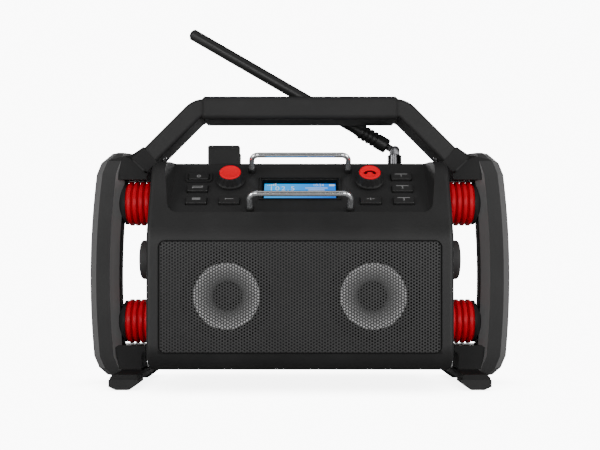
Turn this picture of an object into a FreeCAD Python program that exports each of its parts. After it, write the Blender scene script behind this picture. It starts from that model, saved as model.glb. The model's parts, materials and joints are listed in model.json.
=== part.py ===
import FreeCAD, Part
import math
import operator
import os
from types import SimpleNamespace

import Sketcher
from FreeCAD import Placement, Rotation, Vector

# Driving sizes in millimetres and degrees.
# X runs to the right of the radio, Y to its back and Z up from the surface it stands on.
driving_sizes = {
    # the radio body
    "housing_width": 289.0,
    "housing_front": 88.4,
    "housing_floor": 19.0,
    "housing_top": 222.0,
    "wall": 3.0,
    "split_back": 27.0,
    "heel_round": 25.0,
    "chin_height": 147.7,
    "chin_round": 35.0,
    "cheek_lean": 26.4,
    "brow_round": 26.0,
    "side_round": 5.0,
    "rear_round": 14.0,
    # the sloping control panel in its recess
    "panel_foot_back": 75.0,
    "panel_foot_height": 168.5,
    "panel_slope": 45.0,
    "panel_half_width": 124.4,
    "panel_length": 92.0,
    "panel_draft": 20.0,
    "panel_open_depth": 24.0,
    "panel_corner_round": 8.0,
    # the loudspeaker grille and its opening
    "grille_width": 266.2,
    "grille_low": 36.0,
    "grille_high": 142.8,
    "grille_corner": 7.1,
    "grille_gap": 1.0,
    "grille_recess": 3.5,
    "grille_sheet": 1.0,
    "grille_rim": 2.4,
    "grille_hole": 3.6,
    "grille_hole_gap": 20.0,
    "grille_hole_rise": 17.0,
    "grille_columns": 13,
    "grille_rows": 6,
    # the loudspeakers
    "speaker_spacing": 138.6,
    "speaker_height": 90.0,
    "speaker_width": 86.8,
    "cone_width": 62.8,
    "dust_cap_width": 27.0,
    "cone_depth": 14.0,
    "basket_depth": 34.0,
    "basket_sheet": 1.5,
    "basket_flange": 4.0,
    "magnet_width": 60.0,
    "magnet_length": 17.0,
    # the display
    "window_width": 79.9,
    "window_length": 34.0,
    "window_middle": 36.2,
    "window_sheet": 1.5,
    "bezel_border": 3.0,
    "lcd_thickness": 5.0,
    # the two guard rails over the display
    "guard_tube": 5.3,
    "guard_spacing": 95.3,
    "guard_height": 21.0,
    "guard_bend": 7.0,
    "guard_front": 4.2,
    "guard_rear": 62.5,
    "guard_foot_width": 7.4,
    "guard_foot_height": 5.0,
    # knobs and buttons
    "knob_spacing": 136.4,
    "knob_up": 47.5,
    "knob_width": 29.0,
    "knob_height": 10.0,
    "knob_cap_width": 22.0,
    "knob_cap_height": 1.1,
    "knob_dish": 0.5,
    "knob_lift": 1.3,
    "shaft_width": 6.0,
    "button_width": 20.0,
    "button_length": 9.4,
    "button_proud": 2.5,
    "button_pitch": 18.0,
    "button_low_row": 17.0,
    "button_round": 1.6,
    "outer_button": 99.8,
    "inner_button": 68.0,
    "power_bezel_width": 26.0,
    "power_bezel_length": 14.5,
    "running_gap": 0.4,
    # the hoop's two side limbs
    "limb_inner": 183.8,
    "limb_outer": 213.3,
    "limb_half_depth": 20.5,
    "limb_middle": 108.0,
    "limb_bow": 850.0,
    "limb_bottom": 8.0,
    "limb_top": 234.0,
    "limb_inner_chamfer": 7.7,
    "limb_outer_chamfer": 8.0,
    "limb_chamfer_depth": 10.0,
    "core_cover": 7.0,
    # the handle
    "handle_reach": 392.1,
    "handle_thickness": 15.9,
    "handle_depth": 42.0,
    "handle_top": 285.2,
    "handle_bend": 26.0,
    "handle_edge": 2.0,
    "grip_half_length": 97.4,
    "grip_cover": 2.2,
    "grip_edge": 3.6,
    "collar_low": 155.0,
    "collar_length": 15.0,
    "collar_wall": 1.7,
    # shock mounts and side buffers
    "mount_upper": 183.2,
    "mount_lower": 62.7,
    "mount_crest": 22.6,
    "mount_root": 20.2,
    "mount_end": 176.3,
    "mount_end_band": 0.9,
    "mount_ribs": 5,
    "cup_width": 42.6,
    "cup_plate": 2.3,
    "cup_lean": 58.0,
    "cup_neck_width": 23.0,
    "buffer_height": 125.7,
    "buffer_width": 40.2,
    "buffer_length": 18.1,
    "buffer_round": 3.0,
    # the foot rails and rubber feet
    "rail_inset": 28.3,
    "rail_width": 26.5,
    "rail_half_length": 69.0,
    "rail_low": 7.0,
    "rail_high": 14.6,
    "foot_length": 30.0,
    "foot_overhang": 1.0,
    "foot_round": 4.0,
    # the aerial
    "aerial_across": 101.8,
    "aerial_back": 45.0,
    "aerial_pivot": 243.5,
    "aerial_reach": 254.7,
    "aerial_raise": 30.0,
    "aerial_socket_width": 15.0,
    "aerial_socket_top": 238.4,
    "aerial_flare_width": 19.0,
    "aerial_fork_width": 12.0,
    "aerial_tongue": 4.6,
    "aerial_sleeve_width": 15.0,
    "aerial_whip_width": 13.4,
    "aerial_tip_width": 8.6,
    # the clip that holds the lowered aerial
    "clip_inner": 64.5,
    "clip_outer": 97.7,
    "clip_top": 248.2,
    "clip_lip": 3.2,
    "clip_sheet": 3.0,
    "clip_gap": 0.8,
    # the battery bay, its pack and its door
    "bay_half_width": 62.0,
    "bay_low": 58.0,
    "bay_high": 150.0,
    "bay_depth": 46.0,
    "door_sheet": 3.0,
    "hinge_barrel": 5.2,
    "hinge_pin": 2.0,
    "board_sheet": 1.6,
    "board_border": 6.0,
    "screw_head": 7.0,
}


class Size:
    """A number together with the sheet expression that gives it."""

    def __init__(self, number, text):
        self.number = float(number)
        self.text = text

    def __float__(self):
        return self.number

    def __add__(self, other):
        return joined(self, "+", other)

    def __radd__(self, other):
        return joined(other, "+", self)

    def __sub__(self, other):
        return joined(self, "-", other)

    def __rsub__(self, other):
        return joined(other, "-", self)

    def __mul__(self, other):
        return joined(self, "*", other)

    def __rmul__(self, other):
        return joined(other, "*", self)

    def __truediv__(self, other):
        return joined(self, "/", other)

    def __rtruediv__(self, other):
        return joined(other, "/", self)

    def __neg__(self):
        return joined(-1, "*", self)


def as_size(thing):
    return thing if isinstance(thing, Size) else Size(thing, "(%r)" % float(thing))


def joined(left, sign, right):
    left, right = as_size(left), as_size(right)
    work = {"+": operator.add, "-": operator.sub, "*": operator.mul, "/": operator.truediv}[sign]
    return Size(work(left.number, right.number), "(%s %s %s)" % (left.text, sign, right.text))


def angle_ratio(name, angle):
    ratio = {"sin": math.sin, "cos": math.cos, "tan": math.tan}[name](math.radians(float(angle)))
    return Size(ratio, "%s(%s * 1 deg)" % (name, as_size(angle).text))


doc = FreeCAD.newDocument("jobsite_radio")
sheet = doc.addObject("Spreadsheet::Sheet", "Sizes")
for row, (name, number) in enumerate(driving_sizes.items(), 1):
    sheet.set("A%d" % row, name)
    sheet.set("B%d" % row, str(number))
    sheet.setAlias("B%d" % row, name)
doc.recompute()
dim = SimpleNamespace(**{name: Size(sheet.get(name), "Sizes." + name) for name in driving_sizes})
nodes = []


def keep(thing, label):
    """Lists a finished object as one node of the radio."""
    thing.Label = label
    nodes.append(thing)
    return thing


def bind(thing, path, size):
    size = as_size(size)
    if "Sizes." in size.text:
        thing.setExpression(path, size.text)


def place(thing, x=0, y=0, z=0, axis=None, angle=0):
    """Puts an object at a place given by sizes, turned about an axis."""
    turn = Rotation(axis, float(angle)) if axis else Rotation()
    thing.Placement = Placement(Vector(float(x), float(y), float(z)), turn)
    for letter, size in zip("xyz", (x, y, z)):
        bind(thing, "Placement.Base." + letter, size)
    if axis:
        bind(thing, "Placement.Rotation.Angle", angle)
    return thing


def new_body(name):
    return doc.addObject("PartDesign::Body", name)


def pin(sketch, edge, end, spot):
    """Fixes one point of a sketch at its place from the origin."""
    for kind, axis, size in zip(("DistanceX", "DistanceY"), (-2, -1), spot):
        if float(size) == 0:
            sketch.addConstraint(Sketcher.Constraint("PointOnObject", edge, end, axis))
            continue
        index = sketch.addConstraint(Sketcher.Constraint(kind, -1, 1, edge, end, float(size)))
        bind(sketch, "Constraints[%d]" % index, size)


def draw_outline(sketch, corners):
    first = sketch.GeometryCount
    points = [Vector(float(x), float(y), 0) for x, y in corners]
    for here, there in zip(points, points[1:] + points[:1]):
        sketch.addGeometry(Part.LineSegment(here, there), False)
    for index, corner in enumerate(corners):
        before = first + (index - 1) % len(corners)
        sketch.addConstraint(Sketcher.Constraint("Coincident", before, 2, first + index, 1))
        pin(sketch, first + index, 1, corner)


def draw_circle(sketch, x, y, radius):
    centre = Vector(float(x), float(y), 0)
    edge = sketch.addGeometry(Part.Circle(centre, Vector(0, 0, 1), float(radius)), False)
    pin(sketch, edge, 3, (x, y))
    index = sketch.addConstraint(Sketcher.Constraint("Radius", edge, float(radius)))
    bind(sketch, "Constraints[%d]" % index, radius)


def draw_rounded(sketch, x_low, x_high, y_low, y_high, radius):
    """Rectangle with round corners: four lines, and an arc from each to the next."""
    first = sketch.GeometryCount
    ends = [((x_low + radius, y_low), (x_high - radius, y_low)), ((x_high, y_low + radius), (x_high, y_high - radius)),
            ((x_high - radius, y_high), (x_low + radius, y_high)), ((x_low, y_high - radius), (x_low, y_low + radius))]
    centres = [(x_high - radius, y_low + radius), (x_high - radius, y_high - radius),
               (x_low + radius, y_high - radius), (x_low + radius, y_low + radius)]
    for start, end in ends:
        points = [Vector(float(x), float(y), 0) for x, y in (start, end)]
        sketch.addGeometry(Part.LineSegment(*points), False)
    for corner, (x, y) in enumerate(centres):
        circle = Part.Circle(Vector(float(x), float(y), 0), Vector(0, 0, 1), float(radius))
        start = math.radians(90 * corner - 90)
        sketch.addGeometry(Part.ArcOfCircle(circle, start, start + math.pi / 2), False)
    for side, (start, end) in enumerate(ends):
        arc = first + 4 + side
        pin(sketch, first + side, 1, start)
        pin(sketch, first + side, 2, end)
        sketch.addConstraint(Sketcher.Constraint("Coincident", arc, 1, first + side, 2))
        sketch.addConstraint(Sketcher.Constraint("Coincident", arc, 2, first + (side + 1) % 4, 1))
        index = sketch.addConstraint(Sketcher.Constraint("Radius", arc, float(radius)))
        bind(sketch, "Constraints[%d]" % index, radius)


def box_corners(x_low, x_high, y_low, y_high):
    return [(x_low, y_low), (x_high, y_low), (x_high, y_high), (x_low, y_high)]


origin_planes = {"x": "YZ_Plane", "y": "XZ_Plane", "z": "XY_Plane"}


def new_sketch(body, name, axis, offset=0):
    """Sketch square to an axis of the body, at a distance along it."""
    sketch = body.newObject("Sketcher::SketchObject", name)
    plane = [item for item in body.Origin.OriginFeatures if item.Role == origin_planes[axis]][0]
    sketch.AttachmentSupport = [(plane, "")]
    sketch.MapMode = "FlatFace"
    shift = -offset if axis == "y" else offset
    sketch.AttachmentOffset = Placement(Vector(0, 0, float(shift)), Rotation())
    bind(sketch, "AttachmentOffset.Base.z", shift)
    return sketch


def panel_sketch(body, name, normal=0):
    """Sketch parallel to the control panel, at a height along its normal."""
    sketch = new_sketch(body, name, "z")
    back = -dim.panel_foot_back - panel_sin * normal
    height = dim.panel_foot_height + panel_cos * normal
    tilt = Rotation(Vector(1, 0, 0), float(dim.panel_slope))
    sketch.AttachmentOffset = Placement(Vector(0, float(back), float(height)), tilt)
    bind(sketch, "AttachmentOffset.Base.y", back)
    bind(sketch, "AttachmentOffset.Base.z", height)
    bind(sketch, "AttachmentOffset.Rotation.Angle", dim.panel_slope)
    return sketch


def draw(sketch, shapes):
    """Draws circles (x, y, radius), round boxes (x, x, y, y, radius) and lists of corners."""
    for shape in shapes:
        if isinstance(shape, list):
            draw_outline(sketch, shape)
        elif len(shape) == 3:
            draw_circle(sketch, *shape)
        else:
            draw_rounded(sketch, *shape)
    return sketch


def raise_sketch(body, sketch, length, cut=False, backwards=False, symmetric=False):
    kind = "Pocket" if cut else "Pad"
    feature = body.newObject("PartDesign::" + kind, sketch.Name + "_" + kind.lower())
    feature.Profile = sketch
    feature.SideType = "Symmetric" if symmetric else "One side"
    feature.Reversed = backwards != cut
    feature.Length = float(length)
    bind(feature, "Length", length)
    body.Tip = feature
    return feature


def block(body, name, axis, shapes, low, high, cut=False):
    """Material added, or cut, between two places along an axis of the body."""
    sketch = draw(new_sketch(body, name, axis, low), shapes)
    return raise_sketch(body, sketch, high - low, cut, backwards=axis == "y")


def panel_block(body, name, shapes, low, high, cut=False):
    sketch = draw(panel_sketch(body, name, low), shapes)
    return raise_sketch(body, sketch, high - low, cut)


def turned(body, name, axis, corners):
    """Profile of (radius, place along the axis) corners turned about that axis."""
    plane, about = {"x": ("z", "H_Axis"), "y": ("z", "V_Axis"), "z": ("y", "V_Axis")}[axis]
    if axis == "x":
        corners = [(along, radius) for radius, along in corners]
    sketch = draw(new_sketch(body, name, plane), [corners])
    feature = body.newObject("PartDesign::Revolution", name + "_turned")
    feature.Profile = sketch
    feature.ReferenceAxis = (sketch, [about])
    feature.Angle = 360
    body.Tip = feature
    return feature


def lofted(body, name, sketches, ruled=False):
    feature = body.newObject("PartDesign::AdditiveLoft", name)
    feature.Profile = sketches[0]
    feature.Sections = sketches[1:]
    feature.Ruled = ruled
    body.Tip = feature
    return feature


def edge_points(edge):
    first, last = edge.ParameterRange
    return [edge.valueAt(first + (last - first) * step / 4) for step in range(5)]


def edge_on(edge, **places):
    """True where the whole edge lies at the given x, y or z."""
    return all(abs(getattr(point, axis) - float(value)) < 0.01
               for point in edge_points(edge) for axis, value in places.items())


def edge_along(edge, axis):
    direction = {"x": Vector(1, 0, 0), "y": Vector(0, 1, 0), "z": Vector(0, 0, 1)}[axis]
    points = edge_points(edge)
    run = points[-1] - points[0]
    return run.Length > 0 and abs(abs(run.dot(direction)) - run.Length) < 1e-4 * run.Length


def soften(body, radius, wanted, kind="Fillet"):
    """Rounds or bevels the edges of the body's tip that the test picks."""
    doc.recompute()
    tip = body.Tip
    chosen = ["Edge%d" % n for n, edge in enumerate(tip.Shape.Edges, 1) if wanted(edge)]
    feature = body.newObject("PartDesign::" + kind, body.Name + "_" + kind.lower())
    feature.Base = (tip, chosen)
    path = "Radius" if kind == "Fillet" else "Size"
    setattr(feature, path, float(radius))
    bind(feature, path, radius)
    body.Tip = feature
    return feature


def mirrored(source, name):
    """The same piece on the other side of the radio."""
    twin = doc.addObject("Part::Mirroring", name)
    twin.Source = source
    twin.Normal = Vector(1, 0, 0)
    return twin


def both_sides(source, label):
    keep(mirrored(source, label + "_left"), label + "_left")
    keep(source, label + "_right")


def grouped(pieces, label):
    group = doc.addObject("Part::Compound", label)
    group.Links = pieces
    return keep(group, label)


def cut_by(base, tool, label):
    """Base with the tool's shape taken away, as one node."""
    result = doc.addObject("Part::Cut", label)
    result.Base = base
    result.Tool = tool
    return result


panel_sin = angle_ratio("sin", dim.panel_slope)
panel_cos = angle_ratio("cos", dim.panel_slope)
cheek_sin = angle_ratio("sin", dim.cheek_lean)
cheek_cos = angle_ratio("cos", dim.cheek_lean)
housing_half = dim.housing_width / 2
housing_back = dim.housing_front
brow_back = -dim.housing_front + (dim.housing_top - dim.chin_height) * cheek_sin / cheek_cos
baffle_back = -dim.housing_front + dim.grille_recess + dim.wall


def on_panel(x, up, normal=0):
    """World place of a point given across, up the slope and off the panel."""
    y = -dim.panel_foot_back + panel_cos * up - panel_sin * normal
    z = dim.panel_foot_height + panel_sin * up + panel_cos * normal
    return x, y, z


def seat_on_panel(thing, x, up, normal=0):
    return place(thing, *on_panel(x, up, normal), Vector(1, 0, 0), dim.panel_slope)


def make_front_housing():
    body = new_body("front_housing")
    front, floor, top = -dim.housing_front, dim.housing_floor, dim.housing_top
    profile = [(dim.split_back, floor), (front, floor), (front, dim.chin_height), (brow_back, top),
               (dim.split_back, top)]
    sketch = draw(new_sketch(body, "side_profile", "x"), [profile])
    raise_sketch(body, sketch, dim.housing_width, symmetric=True)
    soften(body, dim.heel_round, lambda edge: edge_on(edge, y=front, z=floor))
    soften(body, dim.chin_round, lambda edge: edge_on(edge, y=front, z=dim.chin_height))
    soften(body, dim.brow_round, lambda edge: edge_on(edge, y=brow_back, z=top))
    soften(body, dim.side_round, lambda edge: not edge_on(edge, y=dim.split_back)
           and (edge_on(edge, x=housing_half) or edge_on(edge, x=-housing_half)))

    # the space inside follows the baffle, the back of the panel and the roof
    wall = dim.wall
    roof = top - wall
    below_speaker = dim.speaker_height - dim.speaker_width / 2 - dim.basket_flange - 2 * dim.running_gap
    under_foot = on_panel(0, -2 * wall - 1, -wall)[1:]
    rise = (roof - on_panel(0, 0, -wall)[2]) / panel_sin
    inside = [(dim.split_back, floor + wall), (front + dim.heel_round, floor + wall), (baffle_back, below_speaker),
              (baffle_back, dim.grille_high + wall), under_foot, on_panel(0, rise, -wall)[1:],
              (dim.split_back, roof)]
    sketch = draw(new_sketch(body, "inside", "x"), [inside])
    raise_sketch(body, sketch, dim.housing_width - 2 * wall, cut=True, symmetric=True)

    # the recess of the panel flares outwards, and stays open at its top
    depth = dim.panel_open_depth
    flare = depth * angle_ratio("tan", dim.panel_draft)
    half = dim.panel_half_width + flare
    mouth = (-half, half, -flare, dim.panel_length, dim.panel_corner_round + flare)
    recess = raise_sketch(body, draw(panel_sketch(body, "recess_mouth", depth), [mouth]), depth, cut=True,
                          backwards=True)
    recess.TaperAngle = -float(dim.panel_draft)
    bind(recess, "TaperAngle", -dim.panel_draft)

    # the grille's seat, and the two speaker holes through the baffle behind it
    seat = front + dim.grille_recess
    half = dim.grille_width / 2
    opening = (-half, half, dim.grille_low, dim.grille_high, dim.grille_corner)
    block(body, "grille_seat", "y", [opening], front - 1, seat, cut=True)
    spread = dim.speaker_spacing / 2
    holes = [(side * spread, dim.speaker_height, dim.speaker_width / 2) for side in (-1, 1)]
    block(body, "speaker_holes", "y", holes, seat - 1, baffle_back + 1, cut=True)

    # the holes of the panel: display, knob shafts, buttons
    gap = dim.running_gap
    reach = dim.window_width / 2
    low = dim.window_middle - dim.window_length / 2
    shapes = [box_corners(-reach, reach, low, low + dim.window_length)]
    shapes += [(side * dim.knob_spacing / 2, dim.knob_up, dim.shaft_width / 2 + gap) for side in (-1, 1)]
    shapes += [box_corners(x - dim.button_width / 2 - gap, x + dim.button_width / 2 + gap,
                           up - dim.button_length / 2 - gap, up + dim.button_length / 2 + gap)
               for x, up in button_places.values()]
    panel_block(body, "panel_holes", shapes, -wall - 1, 1, cut=True)
    return keep(body, "front_housing")


def make_rear_housing():
    body = new_body("rear_housing")
    floor, top, back = dim.housing_floor, dim.housing_top, housing_back
    sketch = draw(new_sketch(body, "rear_profile", "x"), [box_corners(dim.split_back, back, floor, top)])
    raise_sketch(body, sketch, dim.housing_width, symmetric=True)
    soften(body, dim.rear_round, lambda edge: edge_on(edge, y=back, z=floor) or edge_on(edge, y=back, z=top))
    soften(body, dim.side_round, lambda edge: not edge_on(edge, y=dim.split_back)
           and (edge_on(edge, x=housing_half) or edge_on(edge, x=-housing_half)))
    wall = dim.wall
    bend = dim.rear_round
    inside = [(dim.split_back, floor + wall), (back - bend, floor + wall), (back - wall, floor + bend),
              (back - wall, top - bend), (back - bend, top - wall), (dim.split_back, top - wall)]
    sketch = draw(new_sketch(body, "rear_inside", "x"), [inside])
    raise_sketch(body, sketch, dim.housing_width - 2 * wall, cut=True, symmetric=True)

    # the battery bay is a box that opens to the back
    half, low, high = dim.bay_half_width, dim.bay_low, dim.bay_high
    bay_front = back - dim.bay_depth
    ledge = door_border
    block(body, "bay_walls", "y",
          [box_corners(-half - ledge - wall, half + ledge + wall, low - ledge - wall, high + ledge + wall)],
          bay_front - wall, back - wall)
    block(body, "bay_space", "y", [box_corners(-half, half, low, high)], bay_front, back + 1, cut=True)

    # a ledge round the bay carries the door, with a notch for its hinge barrel
    block(body, "door_seat", "y", [box_corners(-half - ledge, half + ledge, low - ledge, high + ledge)],
          back - dim.door_sheet, back + 1, cut=True)
    barrel = dim.hinge_barrel / 2 + dim.running_gap
    block(body, "hinge_notch", "z", [box_corners(hinge_x - barrel, hinge_x + barrel, hinge_y - barrel, back + 1)],
          low - ledge, high + ledge, cut=True)

    # the socket for the charging lead
    block(body, "charge_hole", "y", [(charge_x, charge_z, charge_radius)], back - wall - 1, back + 1, cut=True)
    return keep(body, "rear_housing")


door_border = 2.5 * dim.running_gap + 3
hinge_x = dim.bay_half_width + dim.wall
hinge_y = housing_back - dim.hinge_barrel / 2 + 1.2
charge_x = -(housing_half - 22)
charge_z = dim.bay_low
charge_radius = as_size(5.5)
button_rows = [dim.button_low_row + step * dim.button_pitch for step in range(3)]
button_places = {
    "power_button": (-dim.outer_button, button_rows[2]),
    "source_button": (-dim.outer_button, button_rows[1]),
    "menu_button": (-dim.outer_button, button_rows[0]),
    "back_button": (-dim.inner_button, button_rows[0]),
    "info_button": (dim.inner_button, button_rows[0]),
    "preset_1_button": (dim.outer_button, button_rows[2]),
    "preset_2_button": (dim.outer_button, button_rows[1]),
    "preset_3_button": (dim.outer_button, button_rows[0]),
}


def make_grille():
    body = new_body("speaker_grille")
    gap = dim.grille_gap
    half = dim.grille_width / 2 - gap
    low, high = dim.grille_low + gap, dim.grille_high - gap
    front = -dim.housing_front + dim.grille_recess - dim.grille_rim - dim.grille_sheet
    outline = (-half, half, low, high, dim.grille_corner - gap)
    block(body, "sheet", "y", [outline], front, front + dim.grille_sheet + dim.grille_rim)
    soften(body, 0.8, lambda edge: edge_on(edge, y=front))
    border = dim.grille_corner - gap
    block(body, "hollow_back", "y", [box_corners(border - half, half - border, low + border / 2, high - border / 2)],
          front + dim.grille_sheet, front + dim.grille_sheet + dim.grille_rim + 1, cut=True)
    for row in range(2):
        punch_holes(body, row, front)
    return keep(body, "speaker_grille")


def punch_holes(body, row, front):
    """One of two grids of six-sided holes, the second set between the first."""
    pitch = dim.grille_hole_gap
    columns = float(dim.grille_columns) - row
    rows = float(dim.grille_rows) - row
    left = -(columns - 1) / 2 * pitch
    middle = (dim.grille_low + dim.grille_high) / 2
    bottom = middle - (rows - 1) / 2 * dim.grille_hole_rise
    corners = [(left + dim.grille_hole * math.sin(math.radians(60 * turn)),
                bottom + dim.grille_hole * math.cos(math.radians(60 * turn))) for turn in range(6)]
    hole = block(body, "hole_%d" % row, "y", [corners], front - 1, front + dim.grille_sheet + 1, cut=True)
    pattern = body.newObject("PartDesign::LinearPattern", "hole_grid_%d" % row)
    pattern.Originals = [hole]
    pattern.Direction = (hole.Profile[0], ["H_Axis"])
    pattern.Direction2 = (hole.Profile[0], ["V_Axis"])
    pattern.Occurrences = int(columns)
    pattern.Occurrences2 = int(rows)
    across, up = pitch * (columns - 1), dim.grille_hole_rise * (rows - 1)
    pattern.Length, pattern.Length2 = float(across), float(up)
    bind(pattern, "Length", across)
    bind(pattern, "Length2", up)
    body.Tip = pattern


def make_speaker():
    """The right loudspeaker: basket, magnet, surround and cone, all turned about one axis."""
    rim, cone, cap = dim.speaker_width / 2, dim.cone_width / 2, dim.dust_cap_width / 2
    sheet_steel, flange = dim.basket_sheet, dim.basket_flange
    back, depth = dim.basket_depth, dim.cone_depth
    roll = (rim - cone) / 4
    profiles = {
        "speaker_basket": [(rim + flange, 0), (rim + flange, sheet_steel), (rim - roll, sheet_steel),
                           (cap + 8, back), (cap, back), (cap, back - sheet_steel),
                           (cap + 7, back - sheet_steel), (rim - roll - sheet_steel, 0)],
        "speaker_magnet": [(0, back), (dim.magnet_width / 2, back), (dim.magnet_width / 2, back + dim.magnet_length),
                           (0, back + dim.magnet_length)],
        "speaker_surround": [(rim - 0.3, -0.5), (rim - roll, -1.2), (rim - 2 * roll, -1.5), (cone + roll, -1.2),
                             (cone, 0.2), (cone, 1.2), (cone + roll, 0.0), (rim - 2 * roll, -0.3),
                             (rim - roll, 0), (rim - 0.3, 0)],
        "speaker_cone": [(0, depth - 5.5), (cap / 2, depth - 4.6), (cap, depth - 1.2), (cone, 0.2), (cone, 1.2),
                         (cap, depth + 0.2), (cap, back - sheet_steel), (cap - 1.5, back - sheet_steel),
                         (cap - 1.5, depth - 0.4), (cap / 2, depth - 3.4), (0, depth - 4.3)],
    }
    for name, corners in profiles.items():
        body = new_body(name)
        turned(body, name + "_profile", "y", corners)
        place(body, dim.speaker_spacing / 2, baffle_back, dim.speaker_height)
        both_sides(body, name)


def make_display():
    gap = dim.running_gap
    reach, length = dim.window_width / 2, dim.window_length
    border, face = dim.bezel_border, dim.window_sheet
    bezel = new_body("display_bezel")
    outer = box_corners(gap - reach, reach - gap, gap - length / 2, length / 2 - gap)
    inner = box_corners(border - reach, reach - border, border - length / 2, length / 2 - border)
    lip = box_corners(border / 2 - reach, reach - border / 2, border / 2 - length / 2, length / 2 - border / 2)
    block(bezel, "frame", "z", [outer], -dim.wall, face)
    block(bezel, "window_seat", "z", [lip], 0, face + 1, cut=True)
    block(bezel, "opening", "z", [inner], -dim.wall - 1, 1, cut=True)
    seat_on_panel(bezel, 0, dim.window_middle)
    keep(bezel, "display_bezel")

    window = new_body("display_window")
    block(window, "pane", "z", [lip], 0, face)
    soften(window, 0.5, lambda edge: edge_on(edge, z=face), "Chamfer")
    seat_on_panel(window, 0, dim.window_middle)
    keep(window, "display_window")

    lcd = new_body("lcd_module")
    screen = box_corners(border + gap - reach, reach - border - gap, border + gap - length / 2,
                         length / 2 - border - gap)
    tray = box_corners(-reach, reach, -length / 2, length / 2)
    block(lcd, "glass", "z", [screen], -dim.wall - 1, -0.3)
    block(lcd, "tray", "z", [tray], -dim.wall - dim.lcd_thickness, -dim.wall)
    seat_on_panel(lcd, 0, dim.window_middle)
    keep(lcd, "lcd_module")


def make_guard(label, up):
    """Bent tube that stands off the panel, with a foot flange at each end."""
    body = new_body(label)
    half, height, bend, radius = dim.guard_spacing / 2, dim.guard_height, dim.guard_bend, dim.guard_tube / 2
    path = new_sketch(body, label + "_path", "y")
    draw_bent_rail(path, half, height, bend)
    ring = draw(new_sketch(body, label + "_section", "z"), [(-half, 0, radius)])
    pipe = body.newObject("PartDesign::AdditivePipe", label + "_pipe")
    pipe.Profile = ring
    pipe.Spine = (path, ["Edge%d" % n for n in range(1, 6)])
    body.Tip = pipe
    return keep(seat_on_panel(body, 0, up), label)


def draw_bent_rail(sketch, half, height, bend):
    """Open path: up, a quarter turn, across, a quarter turn, down."""
    quarter = math.pi / 2
    corner = float(half - bend), float(height - bend)
    left, right = Vector(-corner[0], corner[1], 0), Vector(corner[0], corner[1], 0)
    normal, size = Vector(0, 0, 1), float(bend)
    reach, top = float(half), float(height)
    sketch.addGeometry(Part.LineSegment(Vector(-reach, 0, 0), Vector(-reach, corner[1], 0)), False)
    sketch.addGeometry(Part.ArcOfCircle(Part.Circle(left, normal, size), quarter, 2 * quarter), False)
    sketch.addGeometry(Part.LineSegment(Vector(-corner[0], top, 0), Vector(corner[0], top, 0)), False)
    sketch.addGeometry(Part.ArcOfCircle(Part.Circle(right, normal, size), 0, quarter), False)
    sketch.addGeometry(Part.LineSegment(Vector(reach, corner[1], 0), Vector(reach, 0, 0)), False)
    pin(sketch, 0, 1, (-half, 0))
    pin(sketch, 0, 2, (-half, height - bend))
    pin(sketch, 2, 1, (bend - half, height))
    pin(sketch, 2, 2, (half - bend, height))
    pin(sketch, 4, 1, (half, height - bend))
    pin(sketch, 4, 2, (half, 0))
    joins = [(1, 2, 0, 2), (1, 1, 2, 1), (3, 2, 2, 2), (3, 1, 4, 1)]
    for edge, end, other, other_end in joins:
        sketch.addConstraint(Sketcher.Constraint("Coincident", edge, end, other, other_end))
    for edge in (1, 3):
        index = sketch.addConstraint(Sketcher.Constraint("Radius", edge, size))
        bind(sketch, "Constraints[%d]" % index, bend)


def make_guard_feet():
    feet = []
    inner, outer = dim.guard_tube / 2, dim.guard_foot_width / 2
    height = dim.guard_foot_height
    profile = [(inner, 0), (outer, 0), (outer, height - 1), (outer - 0.6, height), (inner, height)]
    for name, side, up in (("front_right", 1, dim.guard_front), ("front_left", -1, dim.guard_front),
                           ("rear_right", 1, dim.guard_rear), ("rear_left", -1, dim.guard_rear)):
        body = new_body("guard_foot_" + name)
        turned(body, "foot_profile_" + name, "z", profile)
        feet.append(seat_on_panel(body, side * dim.guard_spacing / 2, up))
    grouped(feet, "guard_feet")


def make_buttons():
    """Each button is a cap in its hole, a flange that keeps it in and a stem down to the board."""
    half_width, half_length = dim.button_width / 2, dim.button_length / 2
    lip = 1.0
    for label, (x, up) in button_places.items():
        body = new_body(label)
        cap = (-half_width, half_width, -half_length, half_length, dim.button_round)
        block(body, label + "_cap", "z", [cap], -dim.wall, dim.button_proud)
        soften(body, 0.7, lambda edge: edge_on(edge, z=dim.button_proud))
        flange = box_corners(-half_width - lip, half_width + lip, -half_length - lip, half_length + lip)
        block(body, label + "_flange", "z", [flange], -dim.wall - flange_sheet, -dim.wall)
        block(body, label + "_stem", "z", [(0, 0, 2)], -board_depth + button_travel, -dim.wall - flange_sheet)
        keep(seat_on_panel(body, x, up), label)

    bezel = new_body("power_button_bezel")
    wide, tall = dim.power_bezel_width / 2, dim.power_bezel_length / 2
    gap = dim.running_gap
    ring = (-wide, wide, -tall, tall, dim.button_round + 2)
    hole = (-half_width - gap, half_width + gap, -half_length - gap, half_length + gap, dim.button_round)
    block(bezel, "bezel_ring", "z", [ring, hole], 0, dim.button_proud / 2)
    x, up = button_places["power_button"]
    keep(seat_on_panel(bezel, x, up), "power_button_bezel")


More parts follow.
